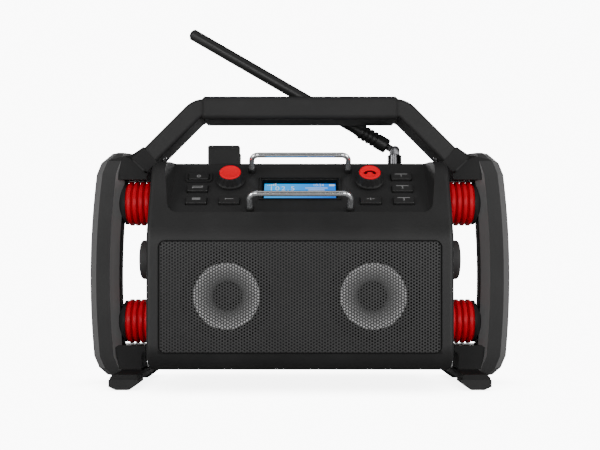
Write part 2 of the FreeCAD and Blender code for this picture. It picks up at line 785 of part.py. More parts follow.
def make_knob():
    """The right knob with its red cap, shaft and encoder."""
    gap = dim.running_gap
    bore, rim, height = dim.shaft_width / 2 + gap / 2, dim.knob_width / 2, dim.knob_height
    cap, rise, dish = dim.knob_cap_width / 2, dim.knob_cap_height, dim.knob_dish
    seat = height - 1.2
    x, up = dim.knob_spacing / 2, dim.knob_up
    knob = new_body("knob")
    turned(knob, "knob_profile", "z",
           [(bore, 0), (rim - 1, 0), (rim, 1), (rim - 0.6, height - 1.6), (rim - 2, height), (cap, height),
            (cap, seat), (0, seat), (0, seat - 1.2), (bore, seat - 1.2)])
    both_sides(seat_on_panel(knob, x, up, dim.knob_lift), "knob")
    top = new_body("knob_cap")
    turned(top, "cap_profile", "z",
           [(0, seat), (cap, seat), (cap, height + rise * 0.6), (cap - 0.8, height + rise), (cap - 2.2, height + rise),
            (cap - 3.4, height + rise - dish), (0, height + rise - dish)])
    both_sides(seat_on_panel(top, x, up, dim.knob_lift), "knob_cap")
    shaft = new_body("encoder_shaft")
    low, high = -board_depth + button_travel, dim.knob_lift + seat - 1.2
    turned(shaft, "shaft_profile", "z",
           [(0, low), (dim.shaft_width / 2, low), (dim.shaft_width / 2, high - 0.6),
            (dim.shaft_width / 2 - 0.6, high), (0, high)])
    both_sides(seat_on_panel(shaft, x, up), "encoder_shaft")

    encoder = new_body("encoder")
    half = dim.shaft_width
    block(encoder, "encoder_case", "z", [box_corners(-half, half, -half, half), (0, 0, dim.shaft_width / 2 + gap)],
          -board_depth, -dim.wall)
    seat_on_panel(encoder, x, up)
    grouped([encoder, mirrored(encoder, "encoder_left")], "rotary_encoders")


flange_sheet = as_size(1.2)
button_travel = 3 * dim.running_gap
encoder_height = as_size(7.4)
board_depth = dim.wall + encoder_height


def make_boards():
    keypad = new_body("keypad_board")
    border = dim.board_border
    side = dim.outer_button + dim.button_width / 2 + border
    low, high = dim.button_low_row - 1.5 * border, dim.knob_up + dim.knob_width / 2
    block(keypad, "keypad_sheet", "z", [box_corners(-side, side, low, high)],
          -board_depth - dim.board_sheet, -board_depth)
    keep(seat_on_panel(keypad, 0, 0), "keypad_board")

    board = new_body("main_board")
    front = post_front - dim.board_sheet
    half = dim.bay_half_width - 2
    low, high = dim.bay_low + border, dim.bay_high - border
    block(board, "main_sheet", "y", [box_corners(-half, half, low, high)], front, post_front)
    chips = [box_corners(half * left, half * right, low + (high - low) * bottom, low + (high - low) * top)
             for left, right, bottom, top in ((-0.5, -0.13, 0.24, 0.51), (0.2, 0.66, 0.36, 0.59),
                                              (-0.8, -0.63, 0.67, 0.87))]
    block(board, "chips", "y", chips, front - 2, front)
    keep(board, "main_board")


bay_front = housing_back - dim.bay_depth
post_front = bay_front - dim.wall - 4
post_places = [(side * 52, height) for side in (-1, 1) for height in (dim.bay_low + 14, dim.bay_high - 10)]
screw_places = [(side * (housing_half - dim.wall - 4), height) for side in (-1, 1)
                for height in (dim.housing_floor + 16, dim.housing_top - 16)]
screw_radius = as_size(1.6)


def make_battery():
    pack = new_body("battery_pack")
    half, gap = dim.bay_half_width - 1, dim.running_gap
    low, high = dim.bay_low, dim.bay_high - 2 * gap
    rear = housing_back - dim.door_sheet - 1
    block(pack, "cells", "y", [(-half, half, low, high, 5)], bay_front, rear)
    block(pack, "pull_slot", "y", [(-16, 16, high - 22, high - 14, 3)], rear - 5, rear + 1, cut=True)
    keep(pack, "battery_pack")

    door = new_body("battery_door")
    edge = dim.bay_half_width + door_border - gap
    bottom, crown = dim.bay_low - door_border + gap, dim.bay_high + door_border - gap
    inner = housing_back - dim.door_sheet
    block(door, "door_panel", "y", [(-edge, hinge_x, bottom, crown, 2)], inner, housing_back)
    block(door, "finger_dip", "y", [(-edge + 5, -edge + 17, door_middle - 14, door_middle + 14, 5)],
          housing_back - 1.6, housing_back + 1, cut=True)
    barrel = dim.hinge_barrel / 2
    block(door, "barrel", "z", [(hinge_x, hinge_y, barrel)], bottom, crown)
    block(door, "barrel_bore", "z", [(hinge_x, hinge_y, dim.hinge_pin / 2 + gap / 2)], bottom - 1, crown + 1, cut=True)
    keep(door, "battery_door")

    socket = new_body("charge_socket")
    flange, bore, length = charge_radius + 1.8, 3.2, 9
    turned(socket, "charge_profile", "y",
           [(0, -length - 1), (charge_radius, -length - 1), (charge_radius, 0), (flange, 0), (flange, 0.7),
            (flange - 0.5, 1.1), (bore, 1.1), (bore, -length), (1.1, -length), (1.1, -1), (0, -1)])
    place(socket, charge_x, housing_back, charge_z)
    keep(socket, "charge_socket")

    screws = []
    for number, (x, z) in enumerate(screw_places):
        screw = new_body("housing_screw_%d" % number)
        head = dim.screw_head / 2
        turned(screw, "screw_profile_%d" % number, "y",
               [(0, -40), (screw_radius, -39), (screw_radius, 0), (head, 0), (head, 0.6), (head - 0.8, 1.2), (0, 1.2)])
        screws.append(place(screw, x, housing_back, z))
    grouped(screws, "housing_screws")


door_middle = (dim.bay_low + dim.bay_high) / 2


def make_mounts():
    """Ribbed rubber mounts between the body and the hoop, and the side buffers between them."""
    length = dim.mount_end - housing_half
    ribs = int(float(dim.mount_ribs))
    band = dim.mount_end_band
    pitch = (length - 2 * band) / dim.mount_ribs
    profile = [(0, 0), (dim.mount_root, 0)]
    for rib in range(ribs):
        for share, radius in ((0.14, dim.mount_root), (0.36, dim.mount_crest), (0.64, dim.mount_crest),
                              (0.86, dim.mount_root)):
            profile.append((radius, band + pitch * (rib + share)))
    profile += [(dim.mount_root, length), (0, length)]
    for label, height in (("shock_mount_upper", dim.mount_upper), ("shock_mount_lower", dim.mount_lower)):
        body = new_body(label)
        turned(body, label + "_profile", "x", profile)
        both_sides(place(body, housing_half, 0, height), label)

    radius, reach, curve = dim.buffer_width / 2, dim.buffer_length, dim.buffer_round
    buffer = new_body("side_buffer")
    turned(buffer, "buffer_profile", "x", [(0, 0), (radius, 0), (radius, reach), (0, reach)])
    soften(buffer, curve, lambda edge: edge_on(edge, x=reach))
    both_sides(place(buffer, housing_half, 0, dim.buffer_height), "side_buffer")


def limb_edge(reach, height):
    """How far out the bowed limb's side lies at a height."""
    off = height - dim.limb_middle
    return reach - off * off / (2 * dim.limb_bow)


def limb_section(body, name, height, inward, outward, half_depth, cover=0):
    """Eight-sided section of the limb, drawn in where its ends turn in."""
    inner = limb_edge(dim.limb_inner, height) - inward + cover
    outer = limb_edge(dim.limb_outer, height) - outward - cover
    half = half_depth - cover
    deep = half - (dim.limb_chamfer_depth - cover / 2)
    near, far = inner + (dim.limb_inner_chamfer - cover / 2), outer - (dim.limb_outer_chamfer - cover / 2)
    corners = [(inner, -deep), (near, -half), (far, -half), (outer, -deep),
               (outer, deep), (far, half), (near, half), (inner, deep)]
    return draw(new_sketch(body, name, "z", height), [corners])


def make_side_frame():
    body = new_body("side_frame")
    full = dim.limb_half_depth
    heights = (dim.limb_bottom + 20, dim.limb_middle, dim.limb_top - 22)
    sections = [limb_section(body, "core_%d" % number, height, 0, 0, full, dim.core_cover)
                for number, height in enumerate(heights)]
    lofted(body, "core", sections)

    # cups for the shock mounts, on necks that pass through the rubber
    centres = [(0, dim.mount_lower), (0, dim.mount_upper)]
    cup_back = dim.mount_end + dim.cup_plate
    block(body, "cups", "x", [(y, z, dim.cup_width / 2) for y, z in centres], dim.mount_end, cup_back)
    cones = block(body, "cup_cones", "x", [(y, z, dim.cup_width / 2) for y, z in centres], cup_back, dim.limb_inner)
    cones.TaperAngle = -float(dim.cup_lean)
    bind(cones, "TaperAngle", -dim.cup_lean)
    block(body, "cup_necks", "x", [(y, z, dim.cup_neck_width / 2) for y, z in centres], cup_back,
          dim.limb_inner + dim.core_cover + 3)

    # the hub and the collar that the handle's arm plugs into
    over, under = dim.handle_reach + collar_skin, arm_inner - collar_skin
    collar = [diagonal(over, -collar_start), diagonal(over, -collar_stop),
              diagonal(under, -collar_stop), diagonal(under, -collar_start)]
    hub_low = dim.mount_upper + dim.mount_crest + 0.5
    inside_x = dim.limb_inner + dim.core_cover + 2
    hub = [diagonal(under, -collar_stop), (collar_foot, hub_low), (inside_x, hub_low),
           (inside_x, dim.limb_top - 8), (dim.limb_inner - 6, dim.limb_top - 4), diagonal(over, -collar_stop)]
    for name, shape, depth in (("collar", collar, dim.handle_depth + 2 * dim.collar_wall), ("hub", hub, hub_depth)):
        raise_sketch(body, draw(new_sketch(body, name, "y"), [shape]), depth, symmetric=True)
    floor = -(collar_stop - 2)
    socket = [diagonal(dim.handle_reach, -collar_start - 2), diagonal(dim.handle_reach, floor),
              diagonal(arm_inner, floor), diagonal(arm_inner, -collar_start - 2)]
    raise_sketch(body, draw(new_sketch(body, "arm_socket", "y"), [socket]), dim.handle_depth, cut=True,
                 symmetric=True)

    # the bracket that stands on the foot rail below the lower mount
    seat = dim.mount_lower - dim.mount_crest - 2
    bracket = [(rail_inner + 4.5, dim.rail_high), (rail_inner + 4.5, seat - 7), (rail_inner + 0.5, seat - 5),
               (rail_inner + 0.5, seat), (rail_inner + 12, seat - 1.5), (dim.limb_inner, seat - 6),
               (inside_x, seat - 6), (inside_x, dim.rail_high + 2), (rail_outer - 4, dim.rail_high)]
    raise_sketch(body, draw(new_sketch(body, "bracket", "y"), [bracket]), hub_depth, symmetric=True)
    both_sides(body, "side_frame")
    return body


arm_inner = dim.handle_reach - dim.handle_thickness * math.sqrt(2)
collar_skin = dim.collar_wall * math.sqrt(2)
collar_start = as_size(80)
collar_stop = collar_start - dim.collar_length * math.sqrt(2) + 1
collar_foot = dim.collar_low + 0.5
hub_depth = 2 * dim.limb_half_depth - 5
rail_inner = dim.limb_inner - dim.rail_inset
rail_outer = rail_inner + dim.rail_width


def diagonal(total, difference):
    """Point of the hoop's corner, from X + Z and X - Z."""
    return (total + difference) / 2, (total - difference) / 2


def make_foot_rail():
    body = new_body("foot_rail")
    inner, outer, low, high = rail_inner, rail_outer, dim.rail_low, dim.rail_high
    profile = [(inner + 1, high), (inner, high - 2), (inner, low + 1.5), (inner + 1.5, low), (outer - 2, low),
               (outer, low + 1.5), (outer, high - 2.6), (outer - 2.6, high)]
    raise_sketch(body, draw(new_sketch(body, "rail_profile", "y"), [profile]), 2 * dim.rail_half_length,
                 symmetric=True)
    both_sides(body, "foot_rail")
    return body


def make_feet(rail):
    feet = []
    inner, outer = rail_inner - dim.foot_overhang, rail_outer + dim.foot_overhang
    lip = dim.rail_low + 2.8
    end = dim.rail_half_length + dim.foot_overhang
    for name, low, high in (("front", -end, dim.foot_length - end), ("rear", end - dim.foot_length, end)):
        body = new_body(name + "_foot_block")
        profile = [(inner, lip), (inner, lip - 3.4), (inner + 8.6, 0), (outer - 7, 0), (outer, 3.2), (outer, lip)]
        block(body, name + "_foot_profile", "y", [profile], low, high)
        soften(body, dim.foot_round, lambda edge: edge_on(edge, x=inner + 8.6, z=0) or edge_on(edge, x=outer - 7, z=0))
        foot = cut_by(body, rail, name + "_foot")
        feet += [foot, mirrored(foot, name + "_foot_left")]
    grouped(feet, "rubber_feet")


def make_bumper(frame, rail):
    body = new_body("bumper_block")
    full, end = dim.limb_half_depth, dim.limb_half_depth - 6
    low, high, middle = dim.limb_bottom, dim.limb_top, dim.limb_middle
    bow = [(low + 20, 0, 0, full), (middle, 0, 0, full), (high - 22, 0, 0, full)]
    foot = [(low, 3.9, 10.4, end), (low + 8, 3.6, 3.4, full - 2), bow[0]]
    crown = [bow[-1], (high - 10, 2.4, 2.8, full - 2), (high, 3.5, 12.0, end)]
    for name, plan in (("bow", bow), ("foot", foot), ("crown", crown)):
        sections = [limb_section(body, "%s_%d" % (name, number), *row) for number, row in enumerate(plan)]
        lofted(body, name + "_loft", sections, ruled=name != "bow")
    both_sides(cut_by(cut_by(body, frame, "bumper_less_frame"), rail, "bumper"), "bumper")


def make_handle():
    bar = new_body("hoop_bar")
    over, under = dim.handle_reach, arm_inner
    top, bottom = dim.handle_top, dim.handle_top - dim.handle_thickness
    floor = -(collar_stop - 2)
    right = [diagonal(under, floor), diagonal(over, floor), (over - top, top)]
    left = [(-x, z) for x, z in reversed(right)]
    inner = [(bottom - under, bottom), (under - bottom, bottom)]
    raise_sketch(bar, draw(new_sketch(bar, "hoop_band", "y"), [right + left + inner]), dim.handle_depth,
                 symmetric=True)
    soften(bar, dim.handle_bend, lambda edge: edge_along(edge, "y") and edge_on(edge, z=top))
    soften(bar, dim.handle_bend - dim.handle_thickness, lambda edge: edge_along(edge, "y") and edge_on(edge, z=bottom))
    half = dim.handle_depth / 2
    soften(bar, dim.handle_edge, lambda edge: (edge_on(edge, y=half) or edge_on(edge, y=-half)) and not arm_end(edge))
    screw = new_body("handle_screw")
    head = dim.screw_head / 2
    turned(screw, "handle_screw_profile", "z",
           [(0, -12), (screw_radius, -11), (screw_radius, 0), (head, 0), (head, 0.6), (head - 0.8, 1.2), (0, 1.2)])
    across, height = diagonal(under, -collar_start - 2 * head)
    place(screw, across, 0, height, Vector(0, 1, 0), -135)
    screws = grouped([screw, mirrored(screw, "handle_screw_left")], "handle_screws")
    keep(cut_by(bar, screws, "drilled_bar"), "handle_bar")

    sleeve = new_body("grip_sleeve")
    cover, reach = dim.grip_cover, dim.grip_half_length
    face = (-half - cover, half + cover, bottom - cover, top + cover, dim.grip_edge)
    sketch = draw(new_sketch(sleeve, "grip_face", "x"), [face])
    raise_sketch(sleeve, sketch, 2 * reach, symmetric=True)
    soften(sleeve, 0.8 * cover, lambda edge: edge_on(edge, x=reach) or edge_on(edge, x=-reach), "Chamfer")
    keep(cut_by(sleeve, bar, "handle_grip"), "handle_grip")


def arm_end(edge):
    floor = -float(collar_stop - 2)
    return all(abs(abs(point.x) - point.z - floor) < 0.01 for point in edge_points(edge))


def make_aerial():
    pivot, across, back = dim.aerial_pivot, dim.aerial_across, dim.aerial_back
    base, flare = dim.aerial_socket_width / 2, dim.aerial_flare_width / 2
    height = dim.aerial_socket_top - dim.housing_top
    spigot, gap = 3.0, dim.running_gap
    socket = new_body("antenna_socket")
    turned(socket, "socket_profile", "z",
           [(0, 0), (flare, 0), (flare, 1), (base, 4), (base, height), (spigot + gap, height), (spigot + gap, 4), (0, 4)])
    keep(place(socket, across, back, dim.housing_top), "antenna_socket")

    turret = new_body("antenna_turret")
    fork, tongue = dim.aerial_fork_width / 2, dim.aerial_tongue / 2
    deck = pivot - aerial_eye - gap
    rise = pivot - dim.aerial_socket_top
    turned(turret, "turret_profile", "z", [(0, 5 - height), (spigot, 5 - height), (spigot, 0), (fork, 0),
                                           (fork, deck - dim.aerial_socket_top), (0, deck - dim.aerial_socket_top)])
    cheek = aerial_eye + 0.6
    for name, low, high in (("near", -fork + 0.6, -tongue - gap / 2), ("far", tongue + gap / 2, fork - 0.6)):
        block(turret, name + "_cheek", "y", [box_corners(-cheek, cheek, 0.2, rise)], low, high)
        block(turret, name + "_eye", "y", [(0, rise, cheek)], low, high)
    block(turret, "pivot_pin", "y", [(0, rise, pin_radius)], -fork + 0.6, fork - 0.6)
    keep(place(turret, across, back, dim.aerial_socket_top), "antenna_turret")

    whip = new_body("antenna_whip")
    sleeve, thick, tip = dim.aerial_sleeve_width / 2, dim.aerial_whip_width / 2, dim.aerial_tip_width / 2
    start, sleeve_end, reach = as_size(9), as_size(42), dim.aerial_reach
    profile = [(0, -reach), (tip - 2, -reach), (tip, 2.5 - reach), (thick, -sleeve_end)]
    for groove in range(4):
        along = -sleeve_end + 4 + 5 * groove
        profile += [(sleeve, along - 4), (sleeve, along - 1.2), (sleeve - 0.9, along - 0.8), (sleeve - 0.9, along)]
    profile += [(sleeve, -sleeve_end + 20), (sleeve, -start - 1.5), (sleeve - 1.5, -start), (aerial_eye, -start),
                (aerial_eye, -start + 2), (0, -start + 2)]
    turned(whip, "whip_profile", "x", profile)
    eye = [(-start - 1, -aerial_eye), (0, -aerial_eye), (0, aerial_eye), (-start - 1, aerial_eye)]
    block(whip, "tongue", "y", [eye], -tongue, tongue)
    block(whip, "tongue_end", "y", [(0, 0, aerial_eye)], -tongue, tongue)
    block(whip, "eye_hole", "y", [(0, 0, pin_radius + gap / 2)], -tongue - 1, tongue + 1, cut=True)
    keep(place(whip, across, back, pivot, Vector(0, 1, 0), dim.aerial_raise), "antenna_whip")

    clip = new_body("antenna_clip")
    parked, sheet = thick - 1.3 + dim.clip_gap, dim.clip_sheet
    near, far, shelf = back - parked, back + parked, pivot - parked
    brim = dim.clip_top - dim.clip_lip
    hook = [(near - sheet, dim.housing_top), (far + sheet, dim.housing_top), (far + sheet, shelf + 3.5),
            (far, shelf + 3.5), (far, shelf), (near, shelf), (near, dim.clip_top), (near - sheet - 1, dim.clip_top),
            (near - sheet - 1, brim), (near - sheet, brim)]
    block(clip, "hook", "x", [hook], -dim.clip_outer, -dim.clip_inner)
    soften(clip, dim.clip_lip - dim.clip_gap, lambda edge: edge_along(edge, "y") and edge_on(edge, z=dim.clip_top))
    keep(clip, "antenna_clip")


aerial_eye = as_size(3.2)
pin_radius = as_size(1.2)


def make_posts(front, rear):
    """Posts that the housing screws and the main board are fixed to."""
    back, split, wall = housing_back, dim.split_back, dim.wall
    thick = 4.5
    block(front, "front_posts", "y", [(x, z, thick) for x, z in screw_places], split - 20, split)
    block(front, "front_bores", "y", [(x, z, screw_radius) for x, z in screw_places], split - 19, split + 1, cut=True)
    block(rear, "rear_posts", "y", [(x, z, thick) for x, z in screw_places], split, back - wall)
    block(rear, "rear_bores", "y", [(x, z, screw_radius) for x, z in screw_places], split - 1, back + 1, cut=True)
    block(rear, "board_posts", "y", [(x, z, 3) for x, z in post_places], post_front, bay_front - wall)
    block(rear, "hinge_pin_low", "z", [(hinge_x, hinge_y, dim.hinge_pin / 2)], dim.bay_low - door_border - 1,
          dim.bay_low - door_border + 6)
    block(rear, "hinge_pin_high", "z", [(hinge_x, hinge_y, dim.hinge_pin / 2)], dim.bay_high + door_border - 6,
          dim.bay_high + door_border + 1)


front_housing = make_front_housing()
rear_housing = make_rear_housing()
make_posts(front_housing, rear_housing)
make_grille()
make_speaker()
make_display()
make_guard("display_guard_front", dim.guard_front)
make_guard("display_guard_rear", dim.guard_rear)
make_guard_feet()
make_buttons()
make_knob()
make_boards()
make_battery()
make_mounts()
side_frame = make_side_frame()
foot_rail = make_foot_rail()
make_feet(foot_rail)
make_bumper(side_frame, foot_rail)
make_handle()
make_aerial()
doc.recompute()

failed = [thing.Name for thing in doc.Objects if "Invalid" in thing.State or "Error" in thing.State]
failed += [node.Label for node in nodes if node.Shape.isNull() or not node.Shape.isValid()]
if failed:
    raise RuntimeError("these objects failed: " + ", ".join(failed))
os.makedirs("parts", exist_ok=True)
for node in nodes:
    node.Shape.exportStep(os.path.join("parts", node.Label + ".step"))
    print(node.Label, len(node.Shape.Solids), round(node.Shape.Volume))
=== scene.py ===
import json
import math

import bmesh
import bpy
from mathutils import Matrix, Vector


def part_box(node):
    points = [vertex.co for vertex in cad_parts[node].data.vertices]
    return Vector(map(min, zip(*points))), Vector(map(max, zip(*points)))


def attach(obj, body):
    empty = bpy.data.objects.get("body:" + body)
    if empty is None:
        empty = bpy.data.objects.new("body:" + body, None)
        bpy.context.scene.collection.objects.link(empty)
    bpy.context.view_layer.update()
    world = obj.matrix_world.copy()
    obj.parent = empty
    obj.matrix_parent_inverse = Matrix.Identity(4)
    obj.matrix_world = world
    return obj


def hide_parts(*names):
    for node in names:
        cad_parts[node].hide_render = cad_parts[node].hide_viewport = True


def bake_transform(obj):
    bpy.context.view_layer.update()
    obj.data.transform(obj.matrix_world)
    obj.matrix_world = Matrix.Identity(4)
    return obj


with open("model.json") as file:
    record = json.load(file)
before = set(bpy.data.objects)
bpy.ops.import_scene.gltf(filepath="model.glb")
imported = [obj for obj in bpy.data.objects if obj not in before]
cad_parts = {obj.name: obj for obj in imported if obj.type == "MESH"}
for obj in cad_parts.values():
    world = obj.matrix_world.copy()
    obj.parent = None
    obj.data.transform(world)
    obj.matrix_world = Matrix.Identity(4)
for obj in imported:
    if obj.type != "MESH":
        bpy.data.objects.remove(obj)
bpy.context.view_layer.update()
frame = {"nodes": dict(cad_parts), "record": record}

mm = 0.001
sides = {"left": -1, "right": 1}


# Shader maths: a Wire is a node's output, and sums on it add Math nodes.
class Wire:
    def __init__(self, finish, socket):
        self.finish = finish
        self.socket = socket

    def sum(self, operation, first, second):
        return self.finish.node("Math", {"operation": operation}, {0: first, 1: second})

    def __add__(self, other):
        return self.sum("ADD", self, other)

    def __radd__(self, other):
        return self.sum("ADD", other, self)

    def __sub__(self, other):
        return self.sum("SUBTRACT", self, other)

    def __rsub__(self, other):
        return self.sum("SUBTRACT", other, self)

    def __mul__(self, other):
        return self.sum("MULTIPLY", self, other)

    def __rmul__(self, other):
        return self.sum("MULTIPLY", other, self)

    def __truediv__(self, other):
        return self.sum("DIVIDE", self, other)

    def power(self, other):
        return self.sum("POWER", self, other)


class Finish:
    def __init__(self, name, color=(0.5, 0.5, 0.5), roughness=0.5, **constants):
        self.material = bpy.data.materials.new(name)
        self.material.use_nodes = True
        self.tree = self.material.node_tree
        self.shader = self.tree.nodes["Principled BSDF"]
        self.set("Base Color", (*color, 1.0))
        self.set("Roughness", roughness)
        for socket, value in constants.items():
            self.set(socket.replace("_", " "), value)

    @classmethod
    def around(cls, material):
        # the same tools for a material that is already made
        finish = cls.__new__(cls)
        finish.material, finish.tree = material, material.node_tree
        finish.shader = finish.tree.nodes["Principled BSDF"]
        return finish

    def set(self, socket, value):
        self.feed(self.shader.inputs[socket], value)

    def feed(self, socket, value):
        if isinstance(value, Wire):
            self.tree.links.new(value.socket, socket)
        else:
            socket.default_value = value

    def node(self, kind, settings=None, inputs=None, output=0):
        made = self.tree.nodes.new("ShaderNode" + kind)
        for name, value in (settings or {}).items():
            if name == "stops":
                self.setStops(made.color_ramp, value)
            else:
                setattr(made, name, value)
        for name, value in (inputs or {}).items():
            self.feed(made.inputs[name], value)
        return Wire(self, made.outputs[output])

    def setStops(self, ramp, stops):
        while len(ramp.elements) < len(stops):
            ramp.elements.new(0.5)
        for element, (place, shade) in zip(ramp.elements, stops):
            element.position = place
            element.color = (shade, shade, shade, 1) if isinstance(shade, float) else (*shade, 1)

    def where(self, scale=1.0, centre=(0, 0, 0)):
        spot = self.node("TexCoord", output="Object")
        return self.node("Mapping", {}, {"Vector": spot, "Location": [-c * scale for c in centre],
                                         "Scale": (scale, scale, scale)})

    def noise(self, scale, detail=2.0, roughness=0.5):
        return self.node("TexNoise", {}, {"Vector": self.where(), "Scale": scale, "Detail": detail,
                                          "Roughness": roughness})

    def ramp(self, value, stops):
        return self.node("ValToRGB", {"stops": stops}, {"Fac": value})

    def mix(self, share, first, second):
        made = self.tree.nodes.new("ShaderNodeMix")
        made.data_type = "RGBA"
        self.feed(made.inputs["Factor"], share)
        for socket, value in ((6, first), (7, second)):
            self.feed(made.inputs[socket], value if isinstance(value, Wire) else (*value, 1.0))
        return Wire(self, made.outputs[2])

    def bump(self, height, strength, distance):
        self.set("Normal", self.node("Bump", {}, {"Height": height, "Strength": strength, "Distance": distance}))


# Moulded plastic with the fine spark-eroded grain of a tool housing, and faint handling marks.
mouldedLook = {"grainScale": 2600.0, "grainDepth": 0.00006, "grainStrength": 0.35, "cloudScale": 22.0}


def mouldedPlastic(name, color, roughness, grain=1.0, pale=1.4, coat=0.0, rubbed=1.0, gloss=0.5):
    look = mouldedLook
    finish = Finish(name, color, roughness, Specular_IOR_Level=gloss)
    cloud = finish.noise(look["cloudScale"], 3.0)
    speck = finish.noise(look["grainScale"] / 3, 2.0)
    bright = tuple(min(1.0, part * pale) for part in color)
    shade = finish.mix(finish.ramp(cloud * 0.7 + speck * 0.3, [(0.35, 0.0), (0.7, 1.0)]), color, bright)
    if rubbed != 1.0:
        # painted light: paler where the piece's own mesh gives a face a share of painted light, on the slanted faces
        # that the lamps catch
        paintedLightShare = finish.node("Attribute", {"attribute_name": "rubbed"}, output="Fac")
        shade = finish.mix(paintedLightShare, shade, tuple(part * rubbed for part in color))
    finish.set("Base Color", shade)
    finish.set("Roughness", roughness - 0.06 + 0.12 * cloud)
    finish.bump(finish.noise(look["grainScale"], 2.0), look["grainStrength"] * grain, look["grainDepth"])
    if coat:
        finish.set("Coat Weight", coat)
    return finish.material


def housingPlastic():
    # the moulded look, with painted shade: darker in the shallow recess behind the grille
    color = (0.017, 0.0169, 0.0169)
    material = mouldedPlastic("housingPlastic", color, 0.5, gloss=0.28)
    low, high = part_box("speaker_grille")
    edge = 1.2 * mm
    finish = Finish.around(material)
    parts = finish.tree.nodes.new("ShaderNodeSeparateXYZ")
    finish.feed(parts.inputs[0], finish.node("TexCoord", output="Object"))
    x, y, z = (Wire(finish, parts.outputs[axis]) for axis in range(3))

    def between(value, least, most):
        return (finish.node("Math", {"operation": "GREATER_THAN"}, {0: value, 1: least})
                * finish.node("Math", {"operation": "LESS_THAN"}, {0: value, 1: most}))
    # painted shade: the recess round and behind the grille, where the housing goes darker
    inside = (between(x, low.x - edge, high.x + edge) * between(z, low.z - edge, high.z + edge)
              * between(y, low.y + 0.4 * mm, high.y + 12 * mm))
    old = Wire(finish, finish.shader.inputs["Base Color"].links[0].from_socket)
    finish.set("Base Color", finish.mix(inside, old, tuple(part * 0.6 for part in color)))
    return material


def polishedMetal(name, color, roughness, smear=0.05):
    finish = Finish(name, color, roughness, Metallic=1.0)
    cloud = finish.noise(60.0, 4.0)
    finish.set("Roughness", roughness + smear * cloud)
    finish.set("Base Color", finish.mix(cloud, color, tuple(part * 0.86 for part in color)))
    return finish.material


def brightChrome():
    # the tubes stand in a bright studio, so part of the finish is pale and not a mirror
    finish = Finish("brightChrome", (0.9, 0.91, 0.92), 0.1, Metallic=1.0)
    cloud = finish.noise(60.0, 4.0)
    finish.set("Roughness", 0.1 + 0.05 * cloud)
    finish.set("Metallic", 0.85 + 0.1 * cloud)
    return finish.material


def redRubber():
    base, deep = (0.74, 0.003, 0.02), (0.5, 0.002, 0.012)
    finish = Finish("redRubber", base, 0.3, Specular_IOR_Level=0.16)
    finish.set("Base Color", finish.mix(finish.noise(35.0, 2.0), base, deep))
    finish.set("Roughness", 0.24 + 0.12 * finish.noise(160.0, 3.0))
    finish.bump(finish.noise(900.0), 0.08, 0.00005)
    return finish.material


def redGlossy():
    color = (0.7, 0.0, 0.012)
    finish = Finish("redCap", color, 0.42, Specular_IOR_Level=0.06)
    finish.set("Roughness", 0.4 + 0.06 * finish.noise(300.0))
    # painted light: the cap glows faintly in its own red
    finish.set("Emission Color", (*color, 1.0))
    finish.set("Emission Strength", 0.3)
    return finish.material


def silverCone():
    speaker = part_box("speaker_cone_right")
    centre = (speaker[0] + speaker[1]) / 2
    finish = Finish("silverCone", (0.6, 0.6, 0.6), 0.55, Metallic=0.2)
    parts = finish.tree.nodes.new("ShaderNodeSeparateXYZ")
    finish.feed(parts.inputs[0], finish.node("TexCoord", output="Object"))
    x, z = Wire(finish, parts.outputs[0]), Wire(finish, parts.outputs[2])
    away = finish.node("Math", {"operation": "ABSOLUTE"}, {0: x}) - centre.x
    up = z - centre.z
    radius = (away * away + up * up).power(0.5)
    share = radius / (31.4 * mm)
    shade = finish.ramp(share, [(0.0, 0.001), (0.42, 0.002), (0.47, 0.12), (0.78, 0.55), (0.95, 0.95), (1.0, 0.6)])
    finish.set("Base Color", shade)
    # painted light: the cone glows with its own tone, darker towards its middle, so it shows bright through the
    # grille
    finish.set("Emission Color", shade)
    finish.set("Emission Strength", 0.3)
    return finish.material


def litScreen():
    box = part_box("lcd_module")
    finish = Finish("litScreen", (0.01, 0.03, 0.06), 0.4, Specular_IOR_Level=0.04)
    parts = finish.tree.nodes.new("ShaderNodeSeparateXYZ")
    finish.feed(parts.inputs[0], finish.node("TexCoord", output="Object"))
    height = (Wire(finish, parts.outputs[2]) - box[0].z) / (box[1].z - box[0].z)
    across = finish.node("Math", {"operation": "ABSOLUTE"}, {0: Wire(finish, parts.outputs[0])})
    lit = (finish.node("Math", {"operation": "LESS_THAN"}, {0: across, 1: 34.8 * mm})
           * finish.node("Math", {"operation": "LESS_THAN"}, {0: height, 1: 0.84}))
    place = Wire(finish, parts.outputs[0]) / (69.6 * mm) + 0.25 - 0.3 * height
    glow = finish.ramp(place + 0.3, [(0.1, (0.0, 0.5, 1.25)), (0.55, (0.0, 0.34, 1.2)), (1.0, (0.0, 0.18, 0.95))])
    finish.set("Base Color", (0.0, 0.005, 0.01, 1))
    finish.set("Emission Color", finish.mix(lit, (0.0, 0.0, 0.0), glow))
    finish.set("Emission Strength", 1.15)
    return finish.material


# glows with the given colour: real light for the display's digits, painted light for the pale button prints
def glowing(name, color, strength):
    finish = Finish(name, (0.02, 0.02, 0.02), 0.4)
    finish.set("Emission Color", (*color, 1.0))
    finish.set("Emission Strength", strength)
    return finish.material


def clearWindow():
    return Finish("clearWindow", (0.01, 0.012, 0.015), 0.06, Alpha=0.05, Specular_IOR_Level=0.2).material


